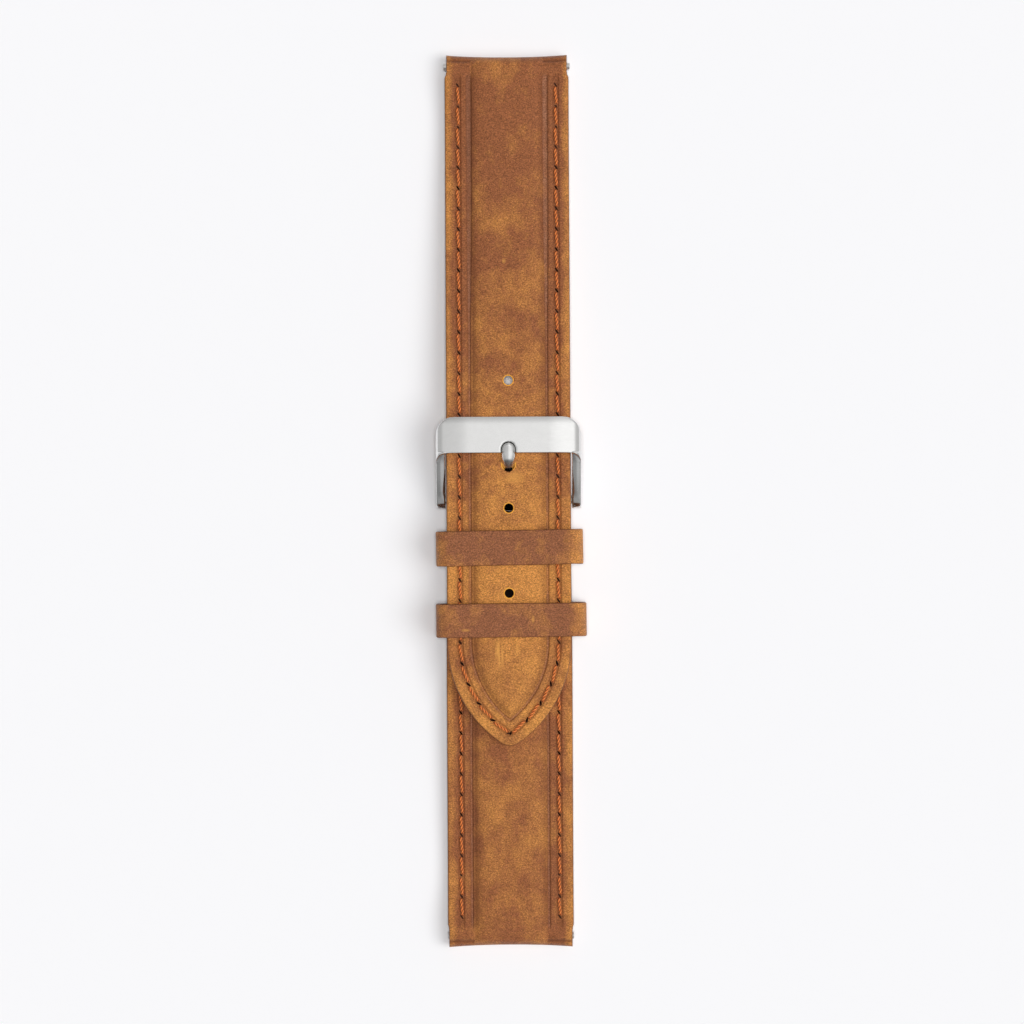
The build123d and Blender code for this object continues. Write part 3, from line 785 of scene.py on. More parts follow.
def leather(name, deep, scratches=(), scuffs=()):
    """Oiled tan leather: mottled and finely grained, with painted shade in its pressed lines and where it is
    seen down a hole, a painted sheen on its creases, and painted at its edges.

    Deep is its darkest colour where it isn't rubbed. Scratches and scuffs are pale places, each given
    by its centre and half size in X and Y."""
    g = paint(name)
    place = g.place()
    grain = g.noise(g.turned(place, 0.6, (1.0, 1.6, 1.0)), *GRAIN)
    patches = g.ramp(g.noise(place, *PATCHES), 0.3, 0.7, -PATCH_SPREAD, PATCH_SPREAD)
    clouds = g.ramp(g.noise(place, *CLOUDS), 0.3, 0.7, -CLOUD_SPREAD, CLOUD_SPREAD)
    tone = g.maths("ADD", g.maths("ADD", g.value("tone"), patches), clouds)
    colour = g.mix(g.ramp(tone, 0.0, 1.0), deep, GOLD)
    colour = g.mix(g.ramp(g.noise(place, *PALE_FLECKS), 0.56, 0.74, 0, FLECK_SHARE), colour, FLECK)
    colour = g.mix(g.ramp(g.noise(place, *DARK_FLECKS), 0.54, 0.74, 0, FLECK_SHARE), colour, UMBER)
    rubbed = g.ramp(g.noise(g.turned(place, 0, (1.0, 0.35, 1.0)), *RUBS), 0.36, 0.64, *RUB_LEVELS)
    # The creases' burnished colour, with a paler lilac sheen painted in
    colour = g.mix(g.product(g.value("crease"), rubbed), colour, BURNISHED_SHEEN)
    colour = g.dapple(colour, grain, 0.36, 0.64, GRAIN_LEVELS)
    colour = g.dapple(colour, g.noise(place, *SPECKS), 0.36, 0.64, SPECK_LEVELS)
    for centre, half in scratches:
        streaks = g.ramp(g.noise(g.turned(place, 0, (2.6, 0.10, 1.0)), *STREAKS), 0.45, 0.58, 0, 0.90)
        colour = g.mix(g.product(streaks, g.spot(place, centre, half, 0.2)), colour, SCRATCH)
    for centre, half in scuffs:
        colour = g.mix(g.product(g.spot(place, centre, half, 0.3), 0.5), colour, SCRATCH)
    # Painted shade in the stitches' grooves, the pressed lines and the lug end's fold
    colour = g.mix(g.product(g.value("groove"), 0.35), colour, GROOVE_SHADE)
    colour = g.mix(g.product(g.value("edge"), 0.8), colour, EDGE_PAINT)
    # Painted shade where the short piece is seen down the holes
    colour = g.mix(g.value("dim"), colour, HOLE_SHADE_BLACK)
    rough = g.ramp(g.noise(place, 1.2), 0.3, 0.7, 0.50, 0.66)
    g.set(g.shader, Base_Color=colour, Roughness=rough, Specular_IOR_Level=0.35)
    pores = g.ramp(g.cells(place, 3.2), 0.0, 0.16)
    height = g.maths("ADD", g.product(pores, 0.35), grain)
    height = g.maths("ADD", height, g.product(g.noise(place, 0.5), 1.2))
    g.set(g.shader, Normal=g.bump(height, LEATHER_BUMP))
    return g.owner


def lining(name):
    """Smooth natural calf on the underside."""
    g = paint(name)
    place = g.place()
    colour = g.mix(g.ramp(g.noise(place, 0.22), 0.35, 0.7), srgb(206, 164, 118), srgb(188, 142, 98))
    colour = g.dapple(colour, g.noise(place, 5.0), 0.3, 0.7, (0.92, 1.06))
    colour = g.mix(g.value("edge"), colour, EDGE_PAINT)
    g.set(g.shader, Base_Color=colour, Roughness=0.62)
    height = g.maths("ADD", g.ramp(g.cells(place, 2.4), 0.0, 0.12), g.noise(place, 3.0))
    g.set(g.shader, Normal=g.bump(height, FIBRE_BUMP))
    return g.owner


def raw_edge(name):
    """Bare cut leather inside a punched hole."""
    g = paint(name)
    place = g.add("TexCoord").outputs["Object"]
    fibres = g.noise(place, 5200.0, 4.0, 0.7)
    colour = g.mix(g.ramp(fibres, 0.3, 0.7), RAW, srgb(226, 148, 60))
    g.set(g.shader, Base_Color=colour, Roughness=0.8)
    g.set(g.shader, Normal=g.bump(fibres, RAW_BUMP))
    return g.owner


def thread(name):
    """Waxed orange thread, with painted shade in the valleys between its plies and at its ends, where it
    dives into the leather.
    """
    g = paint(name)
    place = g.place()
    fibre = g.noise(place, 14.0, 3.0, 0.7)
    colour = g.mix(g.ramp(fibre, 0.35, 0.65), srgb(224, 108, 40), srgb(255, 160, 94))
    # Painted shade between the plies and where the thread dives in
    colour = g.mix(g.value("valley"), colour, srgb(100, 42, 18))
    g.set(g.shader, Base_Color=colour, Roughness=0.45, Normal=g.bump(fibre, FIBRE_BUMP))
    return g.owner


def hole_shade_material(name, scale, low, high, rough):
    """Painted shade: the nearly black inside of a hole."""
    g = paint(name)
    colour = g.mix(g.ramp(g.noise(g.place(), scale), 0.3, 0.7), low, high)
    g.set(g.shader, Base_Color=colour, Roughness=rough)
    return g.owner


def steel(name, colour, rough, grain):
    """Polished steel with the faint lines of its finish and softened edges."""
    g = paint(name)
    place = g.add("TexCoord").outputs["Object"]
    lines = g.noise(g.turned(place, 0, (0.06, 1.0, 1.0)), 9000.0, 2.0, 0.5)
    cloud = g.noise(place, 900.0, 3.0, 0.6)
    shade = g.mix(g.ramp(cloud, 0.3, 0.7), colour, tuple(c * 0.97 for c in colour[:3]) + (1,))
    g.set(g.shader, Base_Color=shade, Metallic=1.0)
    g.set(g.shader, Roughness=g.ramp(lines, 0.3, 0.7, rough * 0.8, rough * 1.3))
    g.set(g.shader, Normal=g.bump(lines, grain))
    return g.owner


upper = leather("upper leather", BROWN)
worn = leather("worn upper leather", BROWN, SCRATCHES, SCUFFS)
band_leather = leather("keeper leather", RUSSET, scuffs=KEEPER_SCUFFS)
calf = lining("lining leather")
raw = raw_edge("raw leather")
# Painted shade for the walls of the holes and bores
hole_wall_shade = hole_shade_material("holes", 4.0, HOLE_SHADE_BLACK, srgb(44, 26, 15), 0.9)
orange = thread("waxed thread")
# Painted shade standing in for the needle holes
needle_shade_paint = hole_shade_material("needle holes", 6.0, srgb(34, 16, 8), srgb(62, 30, 14), 0.85)
polished = steel("polished steel", (0.80, 0.795, 0.785, 1), 0.16, POLISH_BUMP)
turned = steel("turned steel", (0.74, 0.73, 0.71, 1), 0.34, TURNED_BUMP)


# Straps


def tone_at(run, x, y):
    """How golden the face is: oiled leather pales where it bends, lies on top or is rubbed."""
    middle = blurred(run.tones, y)
    margin = max(middle, MARGIN_TONE)
    share = smooth(STITCH_X + GROOVE_HALF, HALF - GROOVE_HALF, x)
    inner = smooth(CROWN_X, CREASE_OUT, x) * (1 - share)
    return middle + (margin - middle) * share - INNER_TONE * inner


def straight_ring(skin, run, s):
    """One ring across a piece at s."""
    relief = relief_at(run, s)
    drawn = run.relief * relief - run.spread * smooth(SPREAD_START, SPREAD_END, s)
    wide = smooth(WIDEN_START, WIDEN_END, s) if run is LONG else 0
    half = half_ring(blurred(run.height, s), blurred(run.crown, s), 1 - relief, wide)
    low = blurred(run.base, s)
    y = AXIS_Y + run.side * s
    skin.ring(half, lambda x, z: Vector((x - drawn * edge_share(x), y, low + z)), run, 1 - relief, 0, wide)


def end_rings(skin, run, side, s, base, crown, shares, relief=0):
    """Rings round the leather's loop at an end, its height shrinking round the spring bar."""
    for share in shares:
        turn = share * math.pi / 2
        grown = math.cos(turn)
        half = half_ring(max(2 * LOOP_RADIUS * grown, LEAST_HEIGHT), crown * grown, 0)
        out = LOOP_RADIUS * math.sin(turn)
        low = base + LOOP_RADIUS * (1 - grown)
        y = AXIS_Y + side * (s + out)
        folded = bump_at(s + out, run.reach - END_PRESS_AT, END_PRESS_WIDTH) if relief else 0

        def place(x, z):
            dent = END_PRESS_DEPTH * folded * margin_share(x) * (z > LOOP_RADIUS * grown)
            back = side * hollow_at(x, share if relief else 0)
            return Vector((x - relief * edge_share(x), y - back, low + z - dent))

        skin.ring(half, place, run, 0, folded)


def lug_end(skin, run):
    """Rings round the loop at a piece's lug end."""
    base = blurred(run.base, run.lug)
    end_rings(skin, run, run.side, run.lug, base, LUG_CROWN, END_SHARES[1:], run.relief - run.spread)


def hole_places():
    """Where the round holes are along the long piece, beside the tongue's."""
    return [AXIS_Y + HOLE_REACH + k * HOLE_PITCH for k in HOLE_STEPS]


def painted_shade_under_holes(point):
    """Painted shade on the short piece where it is seen down a hole."""
    off = min(math.hypot(point.x, point.y - y) for y in hole_places())
    return 1 - smooth(1.4 * HOLE_RADIUS, 2.4 * HOLE_RADIUS, off)


def long_top(x, y):
    """Height of the long piece's face."""
    s = y - AXIS_Y
    height, crown = blurred(LONG.height, s), blurred(LONG.crown, s)
    return blurred(LONG.base, s) + top_height(abs(x), height, crown, 1)


def rims():
    """Bare golden lips round the holes."""
    places, faces = [], []
    outlines = [(y, HOLE_RADIUS, HOLE_RADIUS, 0) for y in hole_places()]
    outlines.append((TONGUE_RIM_Y, TONGUE_HOLE_HALF, TONGUE_RIM_HALF, 1))
    for y, half_x, half_y, worn_off in outlines:
        first = len(places)
        for out, rise in RIM_PROFILE:
            for a, b in circle(RIM_SIDES):
                wave = 1 + RIM_WAVE_SHARE * noise.noise(Vector((RIM_WAVES * a, RIM_WAVES * b, y / MM)))
                wave *= 1 - worn_off * abs(b) ** 3
                px = (half_x + out * wave) * a
                py = y + (half_y + out * wave) * b
                places.append((px, py, long_top(px, py) + rise))
        for face in ring_faces(len(RIM_PROFILE), RIM_SIDES, first):
            turn = 2 * math.pi * ((face[0] - first) % RIM_SIDES + 0.5) / RIM_SIDES
            if not worn_off or abs(math.sin(turn)) <= RIM_REACH_SHARE:
                faces.append(face)
    piece = mesh_piece("hole_rims", places, faces, raw)
    store_places(piece)
    return piece


def long_strap():
    """The long piece in one skin, from its point over the buckle's bar to its lug end."""
    skin = Skin()
    tip_half = half_ring(MARGIN, CROWN, 1)
    for share in reversed(spread(0, 1, TIP_RINGS)):

        def place(x, z):
            px, py = tip_point(HALF - x, share)
            return Vector((px, AXIS_Y - TIP_START + py, TIP_BASE + z))

        skin.ring(tip_half, place, LONG, 1)
    for s in spread(-TIP_START, LONG_LUG, LONG_RINGS)[1:]:
        straight_ring(skin, LONG, s)
    lug_end(skin, LONG)
    lined = (-math.inf, AXIS_Y + LONG_REACH - TURN_BACK)
    piece = skin.mesh("long_strap_skin", worn, lined, [-1])
    cutters = [rod_mesh("hole", (0, y, -HALF), (0, y, HALF), HOLE_RADIUS, hole_wall_shade) for y in hole_places()]
    cutters += [tongue_cutter(), bar_cutter(AXIS_Y + LONG_LUG, LOOP_RADIUS, BORE, hole_wall_shade)]
    carve(piece, cutters)
    store_places(piece)
    return piece


def tongue_cutter():
    """The tongue's hole, leaning with the tongue and longer behind it."""
    lean = math.atan2(TONGUE_RISE, TONGUE_RUN)
    direction = Vector((0, math.cos(lean), math.sin(lean)))
    back = Vector((0, -math.sin(lean), math.cos(lean)))
    corner = Vector((0, TONGUE_BEND_Y, TONGUE_BEND_Z))
    places = []
    for end in TONGUE_HOLE_ENDS:
        for a, b in circle(CUTTER_SIDES):
            up = TONGUE_HOLE_DEEP / 2 * (1 + b) - TONGUE_HOLE_FRONT
            places.append(corner + direction * end + back * up + Vector((TONGUE_HOLE_HALF * a, 0, 0)))
    return mesh_piece("tongue_hole", places, tube_faces(CUTTER_SIDES), hole_wall_shade)


def short_strap():
    """The short piece, from its loop at the buckle to its lug end."""
    skin = Skin(painted_shade_under_holes)
    end_rings(skin, SHORT, 1, 0, SHORT_LIFT, 0, list(reversed(END_SHARES))[:-1])
    for s in spread(0, SHORT_LUG, SHORT_RINGS):
        straight_ring(skin, SHORT, s)
    lug_end(skin, SHORT)
    lined = (AXIS_Y - SHORT_REACH + TURN_BACK, AXIS_Y - TURN_BACK)
    piece = skin.mesh("short_strap_skin", upper, lined, [0, -1])
    slot_half = TONGUE_HALF + 2 * GAP
    cutters = [
        bar_cutter(AXIS_Y, AXIS_Z, BORE, hole_wall_shade),
        bar_cutter(AXIS_Y - SHORT_LUG, LOOP_RADIUS, BORE, hole_wall_shade),
        box_mesh("slot", (-slot_half, AXIS_Y - LOOP_RADIUS, -HALF), (slot_half, AXIS_Y + HALF, HALF), hole_wall_shade),
    ]
    carve(piece, cutters)
    store_places(piece)
    return piece


# Stitching


def stitch_points(origin, along, across, up, high, sink):
    """Two plies twisted round each other, their middle this high, diving at both ends."""
    places, faces, valleys = [], [], []
    for ply in (0, math.pi):
        first = len(places)
        for i in range(PLY_STEPS + 1):
            t = i / PLY_STEPS * 2 - 1
            lift = high - sink * abs(t) ** 3.5
            centre = origin + along * (t * STITCH_LENGTH / 2) + across * (STITCH_SLANT * t) + up * lift
            turn = PLY_TURNS * math.pi * t + ply
            offset = across * math.cos(turn) + up * math.sin(turn)
            for a, b in circle(PLY_SIDES):
                round_it = across * a + up * b
                places.append(centre + offset * PLY_OFFSET + round_it * PLY_RADIUS)
                # Painted shade: between the plies, and at the ends where the thread dives in
                inner = -offset.dot(round_it)
                valleys.append(min(1, 0.9 * smooth(-0.3, 0.7, inner) + 0.8 * smooth(0.86, 1.0, abs(t))))
        faces += ring_faces(PLY_STEPS + 1, PLY_SIDES, first)
    return places, faces, valleys


def needle_points(origin, along, across, up):
    """A small sunken oval between two stitches: a sheet of painted shade standing in for a needle hole."""
    places = []
    for a, b in circle(NEEDLE_SIDES):
        ahead = along * (NEEDLE_LONG / 2 * a)
        aside = across * (NEEDLE_WIDE / 2 * b + NEEDLE_SLANT * a)
        places.append(origin + ahead + aside + up * NEEDLE_LIFT)
    return places


def build_row(name, spots):
    """Stitches, and sheets of painted shade where the needle went through, at spots of (origin, along,
    across, up, middle's height, ends' dive).
    """
    places, faces, valleys = [], [], []
    holes, hole_faces = [], []
    for origin, along, across, up, high, sunk in spots:
        wobble = noise.noise(origin * WOBBLE_SCALE) * STITCH_WOBBLE
        p, f, v = stitch_points(origin + across * wobble, along, across, up, high, sunk)
        faces += [tuple(n + len(places) for n in face) for face in f]
        places += p
        valleys += v
        for end in (-1, 1):
            spot = needle_points(origin + along * (end * STITCH_PITCH / 2), along, across, up)
            hole_faces.append(tuple(range(len(holes), len(holes) + len(spot))))
            holes += spot
    threads = mesh_piece(name, places, faces, orange)
    store(threads, "valley", valleys)
    needles = mesh_piece(name + "_needle_holes", holes, hole_faces, needle_shade_paint)
    for piece in (threads, needles):
        store_places(piece)
    return threads, needles


def row_spots(run, x, under):
    """Where each stitch of a straight row sits on the face, or underneath."""
    length = run.reach - STITCH_END - run.sewn_from
    count = round(length / STITCH_PITCH)
    return [spot_at(run, x, run.sewn_from + length * (k + 0.5) / count, under) for k in range(count)]


def spot_at(run, x, s, under):
    """One stitch's place and directions, its middle's height and its ends' dive."""
    def point(at):
        low = blurred(run.base, at)
        z = low + UNDER_GROOVE if under else low + blurred(run.height, at) - GROOVE_DEPTH
        return Vector((x, AXIS_Y + run.side * at, z))

    origin = point(s)
    along = (point(s + STITCH_LENGTH / 2) - origin).normalized() * run.side
    across = Vector((1, 0, 0))
    up = across.cross(along)
    if under:
        return origin, along, across, -up, *UNDER_THREAD
    return origin, along, -across, up, *UPPER_THREAD


def tip_spots(side, under):
    """Where the stitches sit round one side of the pointed end."""
    side_x = TIP_ARC - HALF
    arc = TIP_ARC - (HALF - STITCH_X)
    sweep = math.acos(side_x / arc)
    count = round(arc * sweep / STITCH_PITCH)
    spots = []
    for k in range(count):
        turn = (k + 0.5) * sweep / count
        x = side * (arc * math.cos(turn) - side_x)
        y = AXIS_Y - TIP_START - arc * math.sin(turn)
        z = TIP_BASE + (UNDER_GROOVE if under else MARGIN - GROOVE_DEPTH)
        along = Vector((side * math.sin(turn), math.cos(turn), 0))
        across = Vector((-along.y, along.x, 0))
        up = Vector((0, 0, -1 if under else 1))
        spots.append((Vector((x, y, z)), along, across, up, *(UNDER_THREAD if under else UPPER_THREAD)))
    return spots


def stitching():
    """Both rows of each piece, on its face and underneath."""
    for label, side in (("left", -1), ("right", 1)):
        for face, under in (("", False), ("_under", True)):
            short = row_spots(SHORT, side * STITCH_X, under)
            threads, needles = build_row(f"short_{label}{face}_stitches", short)
            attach(threads, "strap_short")
            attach(needles, "strap_short")
            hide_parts(f"short_stitching_{label}")
            long = row_spots(LONG, side * STITCH_X, under) + tip_spots(side, under)
            threads, needles = build_row(f"long_{label}{face}_stitches", long)
            bend(threads)
            bend(needles)
            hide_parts(f"long_stitching_{label}", f"tip_stitching_{label}")


# Keepers


def rounded_loop(half, low, high, radius):
    """Points round a rectangle with rounded corners in XZ, the same number whatever its size."""
    low, high, side = low + radius, high - radius, half - radius
    corners = [(side, low), (side, high), (-side, high), (-side, low)]
    arcs = [arc_points(c, radius, 90 * k - 90, 90 * k, KEEPER_CORNER + 1) for k, c in enumerate(corners)]
    points = []
    for arc, following in zip(arcs, arcs[1:] + arcs[:1]):
        points += arc
        (x, z), (end_x, end_z) = arc[-1], following[0]
        for k in range(1, KEEPER_RUN):
            share = k / KEEPER_RUN
            points.append((x + (end_x - x) * share, z + (end_z - z) * share))
    return points


def keeper(name, node, width, band, body, skew, shift):
    """A leather band with eased edges, closed round the strap."""
    low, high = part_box(node)
    centre_y = (low[1] + high[1]) / 2
    half = (high[0] - low[0]) / 2
    half = (half - width / 2 * math.sin(skew)) / math.cos(skew)
    outer = rounded_loop(half, low[2], high[2], KEEPER_OUTER_ROUND)
    inner = rounded_loop(half - KEEPER_BAND, low[2] + band, high[2] - KEEPER_BAND, KEEPER_INNER_ROUND)
    section = []
    for corner_y, corner_t, start in ((1, 1, 0), (-1, 1, 90), (-1, 0, 180), (1, 0, 270)):
        for k in range(4):
            angle = math.radians(start + 90 * k / 3)
            section.append((corner_y, corner_t, math.cos(angle), math.sin(angle)))
    places, edges, tones = [], [], []
    spin = Matrix.Rotation(skew, 3, "Z")
    for (ox, oz), (ix, iz) in zip(outer, inner):
        thick = math.hypot(ox - ix, oz - iz)
        ease = min(KEEPER_EDGE / thick, 0.45)
        for corner_y, corner_t, dy, dt in section:
            y = corner_y * (width / 2 - KEEPER_EDGE) + KEEPER_EDGE * dy
            t = (1 - ease if corner_t else ease) + ease * dt
            spot = Vector((ox * KEEPER_WAVE_SCALE + centre_y / MM, corner_y, oz * KEEPER_WAVE_SCALE))
            y += KEEPER_WAVE * noise.noise(spot)
            point = spin @ Vector((ix + (ox - ix) * t, y, 0))
            places.append(Vector((point.x + shift[0], point.y + centre_y + shift[1], iz + (oz - iz) * t)))
            edges.append(1.0 if abs(dy) > 0.55 else 0.0)
            pale = KEEPER_LEFT_TONE * (1 - smooth(-half, KEEPER_LEFT_REACH - half, ox))
            # Painted light: the right end made more golden, as the light falls from the right
            lit_gold = KEEPER_LIT_END_TONE * smooth(half - KEEPER_RIGHT_REACH, half - KEEPER_RIGHT_FULL, ox)
            tones.append(KEEPER_TONE + pale + lit_gold)
    faces = ring_faces(len(outer), len(section), looped=True)
    piece = mesh_piece(name, places, faces, band_leather)
    for label, values in (("edge", edges), ("tone", tones)):
        store(piece, label, values)
    face_outwards(piece)
    store_places(piece)
    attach(piece, body)
    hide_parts(node)
    return piece


def bend(piece):
    """Bakes the placing of a piece of the long strap, which goes over the buckle's spring bar, into its mesh.
    """
    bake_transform(piece)


# Buckle


def dress(node, material):
    """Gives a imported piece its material."""
    piece = frame["nodes"][node]
    piece.data.materials.clear()
    piece.data.materials.append(material)


def evened(piece, voxel):
    """Joins a piece's parts into one fine, even skin."""
    remesh = piece.modifiers.new("even", "REMESH")
    remesh.mode = "VOXEL"
    remesh.voxel_size = voxel
    remesh.use_smooth_shade = True
    bake(piece)


def softened(piece, passes, swell):
    """Rounds a fine mesh's edges over, and swells it again by what that took off."""
    soften = piece.modifiers.new("round", "SMOOTH")
    soften.factor = 0.5
    soften.iterations = passes
    grow = piece.modifiers.new("swell", "DISPLACE")
    grow.strength = swell
    grow.mid_level = 0
    bake(piece)


def bar_top(y):
    return BAR_TOP - (y - BAR_Y) * BAR_FALL_SHARE


def prism(places, faces, outline, deep, shallow):
    """Adds an upright block over an outline of (x, y), between two depths below the bar's face."""
    first, count = len(places), len(outline)
    places += [Vector((x, y, bar_top(y) - deep)) for x, y in outline]
    places += [Vector((x, y, bar_top(y) - shallow)) for x, y in outline]
    faces.append(tuple(first + k for k in reversed(range(count))))
    faces.append(tuple(first + count + k for k in range(count)))
    faces += ring_faces(2, count, first)


def bar_outline(notched):
    """The bar from above: square to the strap inside, round cornered outside."""
    inner, outer = BAR_Y, BAR_Y + BAR_WIDTH
    right = []
    if notched:
        right += arc_points((0, BAR_Y + NOTCH_DEPTH - NOTCH_HALF), NOTCH_HALF, 90, 0)
    right.append((NOTCH_HALF, inner))
    right += arc_points((FRAME_HALF - BAR_FILLET, inner - BAR_FILLET), BAR_FILLET, 90, 0)
    right += arc_points((FRAME_HALF - BAR_CORNER, outer - BAR_CORNER), BAR_CORNER, 0, 90)
    return right + [(-x, y) for x, y in reversed(right)]


def bar_dip(x, y):
    """How far the bar's face is drawn down towards its ends and its outer edge."""
    end_share = max(abs(x) - BAR_LEVEL_HALF, 0) / (FRAME_HALF - BAR_LEVEL_HALF)
    lip_share = max(y - BAR_Y - BAR_WIDTH + BAR_LIP, 0) / BAR_LIP
    return BAR_END_DROP * end_share**2 + BAR_LIP_DROP * lip_share**2


def arm_outline():
    """An arm from the side, as (y, z): round the eye, and round its nose under the bar."""
    eye, nose = Vector((AXIS_Y, AXIS_Z)), Vector((NOSE_Y, NOSE_Z))
    along = nose - eye
    lean = math.degrees(math.atan2(along.y, along.x))
    part = math.degrees(math.acos((ARM_EYE - ARM_NOSE) / along.length))
    return arc_points(eye, ARM_EYE, lean + part, lean + 360 - part, 40) + arc_points(
        nose, ARM_NOSE, lean - part, lean + part, 20
    )


def buckle_frame():
    """The frame: a bar rolled over at its ends, and an arm down each side to the spring bar."""
    places, faces = [], []
    prism(places, faces, bar_outline(True), BAR_THICK, 0)
    prism(places, faces, bar_outline(False), BAR_THICK, NOTCH_DEEP)
    plate = mesh_piece("polished_frame", places, faces, polished)
    face_outwards(plate)
    outline = arm_outline()
    for side in (-1, 1):
        ends = [side * (FRAME_HALF - ARM_WALL), side * FRAME_HALF]
        corners = [Vector((x, y, z)) for x in ends for y, z in outline]
        arm = mesh_piece("arm", corners, tube_faces(len(outline)), polished)
        face_outwards(arm)
        carve(arm, [bar_cutter(AXIS_Y, AXIS_Z, EYE_BORE, polished)])
        join_into(plate, arm)
    evened(plate, FRAME_VOXEL)
    for vertex in plate.data.vertices:
        vertex.co.z = frame_height(*vertex.co)
    softened(plate, FRAME_PASSES, FRAME_SWELL)
    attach(plate, "buckle")
    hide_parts("buckle_frame")


def frame_height(x, y, z):
    """Where a point of the sharp frame ends up: the bar bowed and rolled over, the arms crowned."""
    low = bar_top(y) - BAR_THICK
    off = abs(x) - FRAME_HALF + BAR_ROLL
    in_bar = y > BAR_Y - 1.2 * BAR_FILLET and z > low
    if in_bar and off > 0:
        z = low + (z - low) * (1 - (BAR_ROLL - math.sqrt(max(BAR_ROLL**2 - off**2, 0))) / BAR_THICK)
    if in_bar and y > BAR_Y:
        return z - bar_dip(x, y) * (z - low) / BAR_THICK
    along = (y - AXIS_Y) / (NOSE_Y - AXIS_Y)
    middle = AXIS_Z + (NOSE_Z - AXIS_Z) * along
    if abs(x) < FRAME_HALF - 1.2 * ARM_WALL or not 0 < along < 1:
        return z
    across = (abs(x) - FRAME_HALF + ARM_WALL / 2) / (ARM_WALL / 2)
    height = min(max((z - middle) / ARM_NOSE, 0), 1)
    fade = smooth(0, ARM_FADE_SHARE, along) * (1 - smooth(BAR_Y - BAR_FILLET, BAR_Y, y))
    return z + (ARM_WAVE * math.sin(2 * math.pi * along) - ARM_CROWN * across**2 * height) * fade


def join_into(target, other):
    """Adds another piece's mesh to the target's."""
    mesh = bmesh.new()
    mesh.from_mesh(target.data)
    mesh.from_mesh(other.data)
    mesh.to_mesh(target.data)
    mesh.free()
    bpy.data.objects.remove(other)


def buckle_tongue():
    """The tongue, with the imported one's form and its edges rounded over."""
    source = frame["nodes"]["buckle_tongue"]
    mesh = source.data.copy()
    mesh.transform(source.matrix_world)
    mesh.materials.clear()
    mesh.materials.append(polished)
    piece = placed("polished_tongue", mesh)
    evened(piece, TONGUE_VOXEL)
    rise_share = TONGUE_RISE / TONGUE_RUN
    for vertex in piece.data.vertices:
        x, y, z = vertex.co
        if y < AXIS_Y + 1.2 * LOOP_RADIUS:
            continue
        low = min(TONGUE_BEND_Z - (TONGUE_BEND_Y - y) * rise_share, bar_top(y) - NOTCH_DEEP)
        height = min(max((z - low) / TONGUE_THICK, 0), 1)
        vertex.co.z -= TONGUE_CROWN * (x / TONGUE_HALF) ** 2 * height
        vertex.co.y -= TONGUE_SHORTEN * smooth(BAR_Y, BAR_Y + NOTCH_DEPTH, y)
        vertex.co.x *= TONGUE_WIDEN_SHARE
    softened(piece, TONGUE_PASSES, TONGUE_SWELL)
    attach(piece, "tongue")
    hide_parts("buckle_tongue")


# Table, light and camera


def table():
    corners = [(x * FLOOR_HALF, y * FLOOR_HALF, -FLOOR_DROP) for x, y in ((-1, -1), (1, -1), (1, 1), (-1, 1))]
    floor = mesh_piece("table", corners, [(0, 1, 2, 3)], table_material())


def table_material():
    g = paint("table")
    g.set(g.shader, Base_Color=(0.970, 0.968, 0.985, 1), Roughness=0.9, Specular_IOR_Level=0.0)
    return g.owner


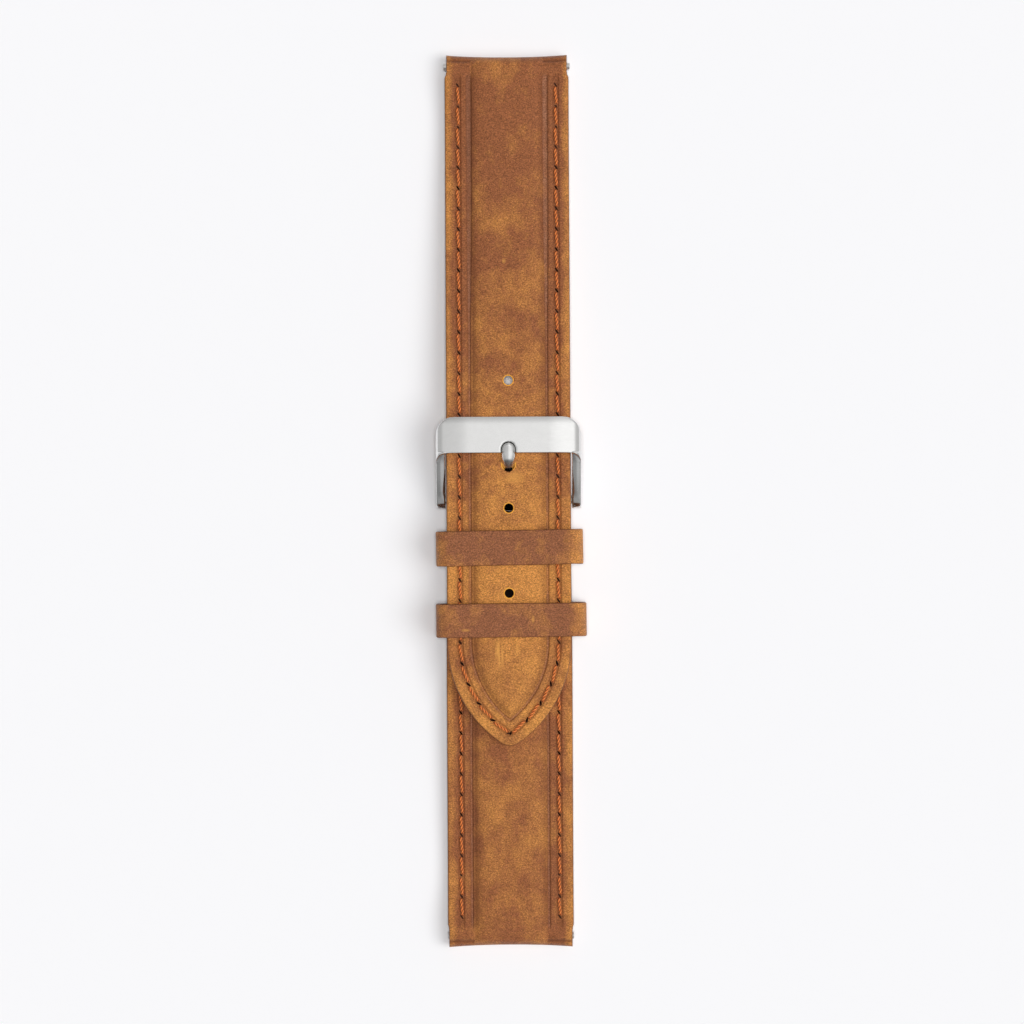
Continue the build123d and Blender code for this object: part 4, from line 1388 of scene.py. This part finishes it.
def world():
    """Light from overhead and from the right, none from low on the left; white behind everything."""
    sky = bpy.data.worlds.new("studio")
    bpy.context.scene.world = sky
    g = Graph(sky)
    g.tree.nodes.clear()
    split = g.add("SeparateXYZ")
    g.feed(split.inputs, (g.add("TexCoord").outputs["Generated"],))
    across, along = split.outputs["X"], split.outputs["Y"]

    def level(source, low, high, to_low, to_high):
        return g.ramp(source, low, high, to_low, to_high, "SMOOTHSTEP")

    def background(strength):
        return g.set(g.add("Background"), Strength=strength).outputs[0]

    def mix(fac, a, b):
        node = g.add("MixShader")
        g.feed(node.inputs, (fac, a, b))
        return node.outputs[0]

    front = level(along, -0.98, -0.10, 0.17, 1.0)
    back = level(along, 0.16, 0.60, 1.0, 0.62)
    rise = level(across, -0.12, 0.12, 0.92, 1.52)
    left = level(across, -0.75, -0.15, 0.72, 1.0)
    right = level(across, 0.20, 0.85, 1.0, 0.50)
    mirrored = g.product(g.product(g.product(front, back), rise), g.product(left, right))
    from_right = level(across, -0.22, 0.12, 0.04, 0.24)
    path = g.add("LightPath")
    light = mix(path.outputs["Is Glossy Ray"], background(from_right), background(mirrored))
    shown = mix(path.outputs["Is Camera Ray"], light, background(1.0))
    g.feed(g.add("OutputWorld").inputs, (shown,))


def sun(name, share, tilt, width, turn):
    """A sun that gives a share of the table's light. Its tilt leans it to the right of overhead."""
    data = bpy.data.lights.new(name, "SUN")
    data.energy = share * math.pi / math.cos(math.radians(tilt))
    data.angle = math.radians(width)
    piece = placed(name, data)
    piece.rotation_euler = (0, math.radians(tilt), math.radians(turn))
    piece.visible_glossy = False


def camera():
    data = bpy.data.cameras.new("camera")
    data.sensor_width = SENSOR_MM
    data.lens = SENSOR_MM * VIEW_HEIGHT / VIEW_WIDTH
    piece = placed("camera", data)
    piece.location = (VIEW_CENTRE[0], VIEW_CENTRE[1], VIEW_HEIGHT)
    piece.rotation_euler = (0, 0, VIEW_ROLL)
    data.clip_end = 2 * FLOOR_HALF + VIEW_HEIGHT
    bpy.context.scene.camera = piece


# Put it together

long_piece = long_strap()
bend(long_piece)
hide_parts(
    "long_upper_leather", "tip_upper_leather", "long_lining", "tip_lining",
    "long_stiffener", "tip_stiffener", "long_padding", "tip_padding",
)
lips = rims()
bend(lips)

short_piece = short_strap()
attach(short_piece, "strap_short")
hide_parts("short_upper_leather", "short_lining", "short_stiffener", "short_padding")

stitching()
keeper(
    "fixed_keeper_band", "fixed_keeper", KEEPER_WIDTH_FIXED, KEEPER_SKIVE, "strap_short",
    FIXED_SKEW, FIXED_SHIFT,
)
keeper(
    "free_keeper_band", "free_keeper", KEEPER_WIDTH_FREE, KEEPER_BAND, "keeper", FREE_SKEW, FREE_SHIFT
)
buckle_frame()
buckle_tongue()
for node in frame["nodes"]:
    if "_bar_" in node:
        dress(node, turned)

table()
world()
for values in SUNS:
    sun(*values)
camera()
bpy.context.scene.view_settings.view_transform = "Standard"
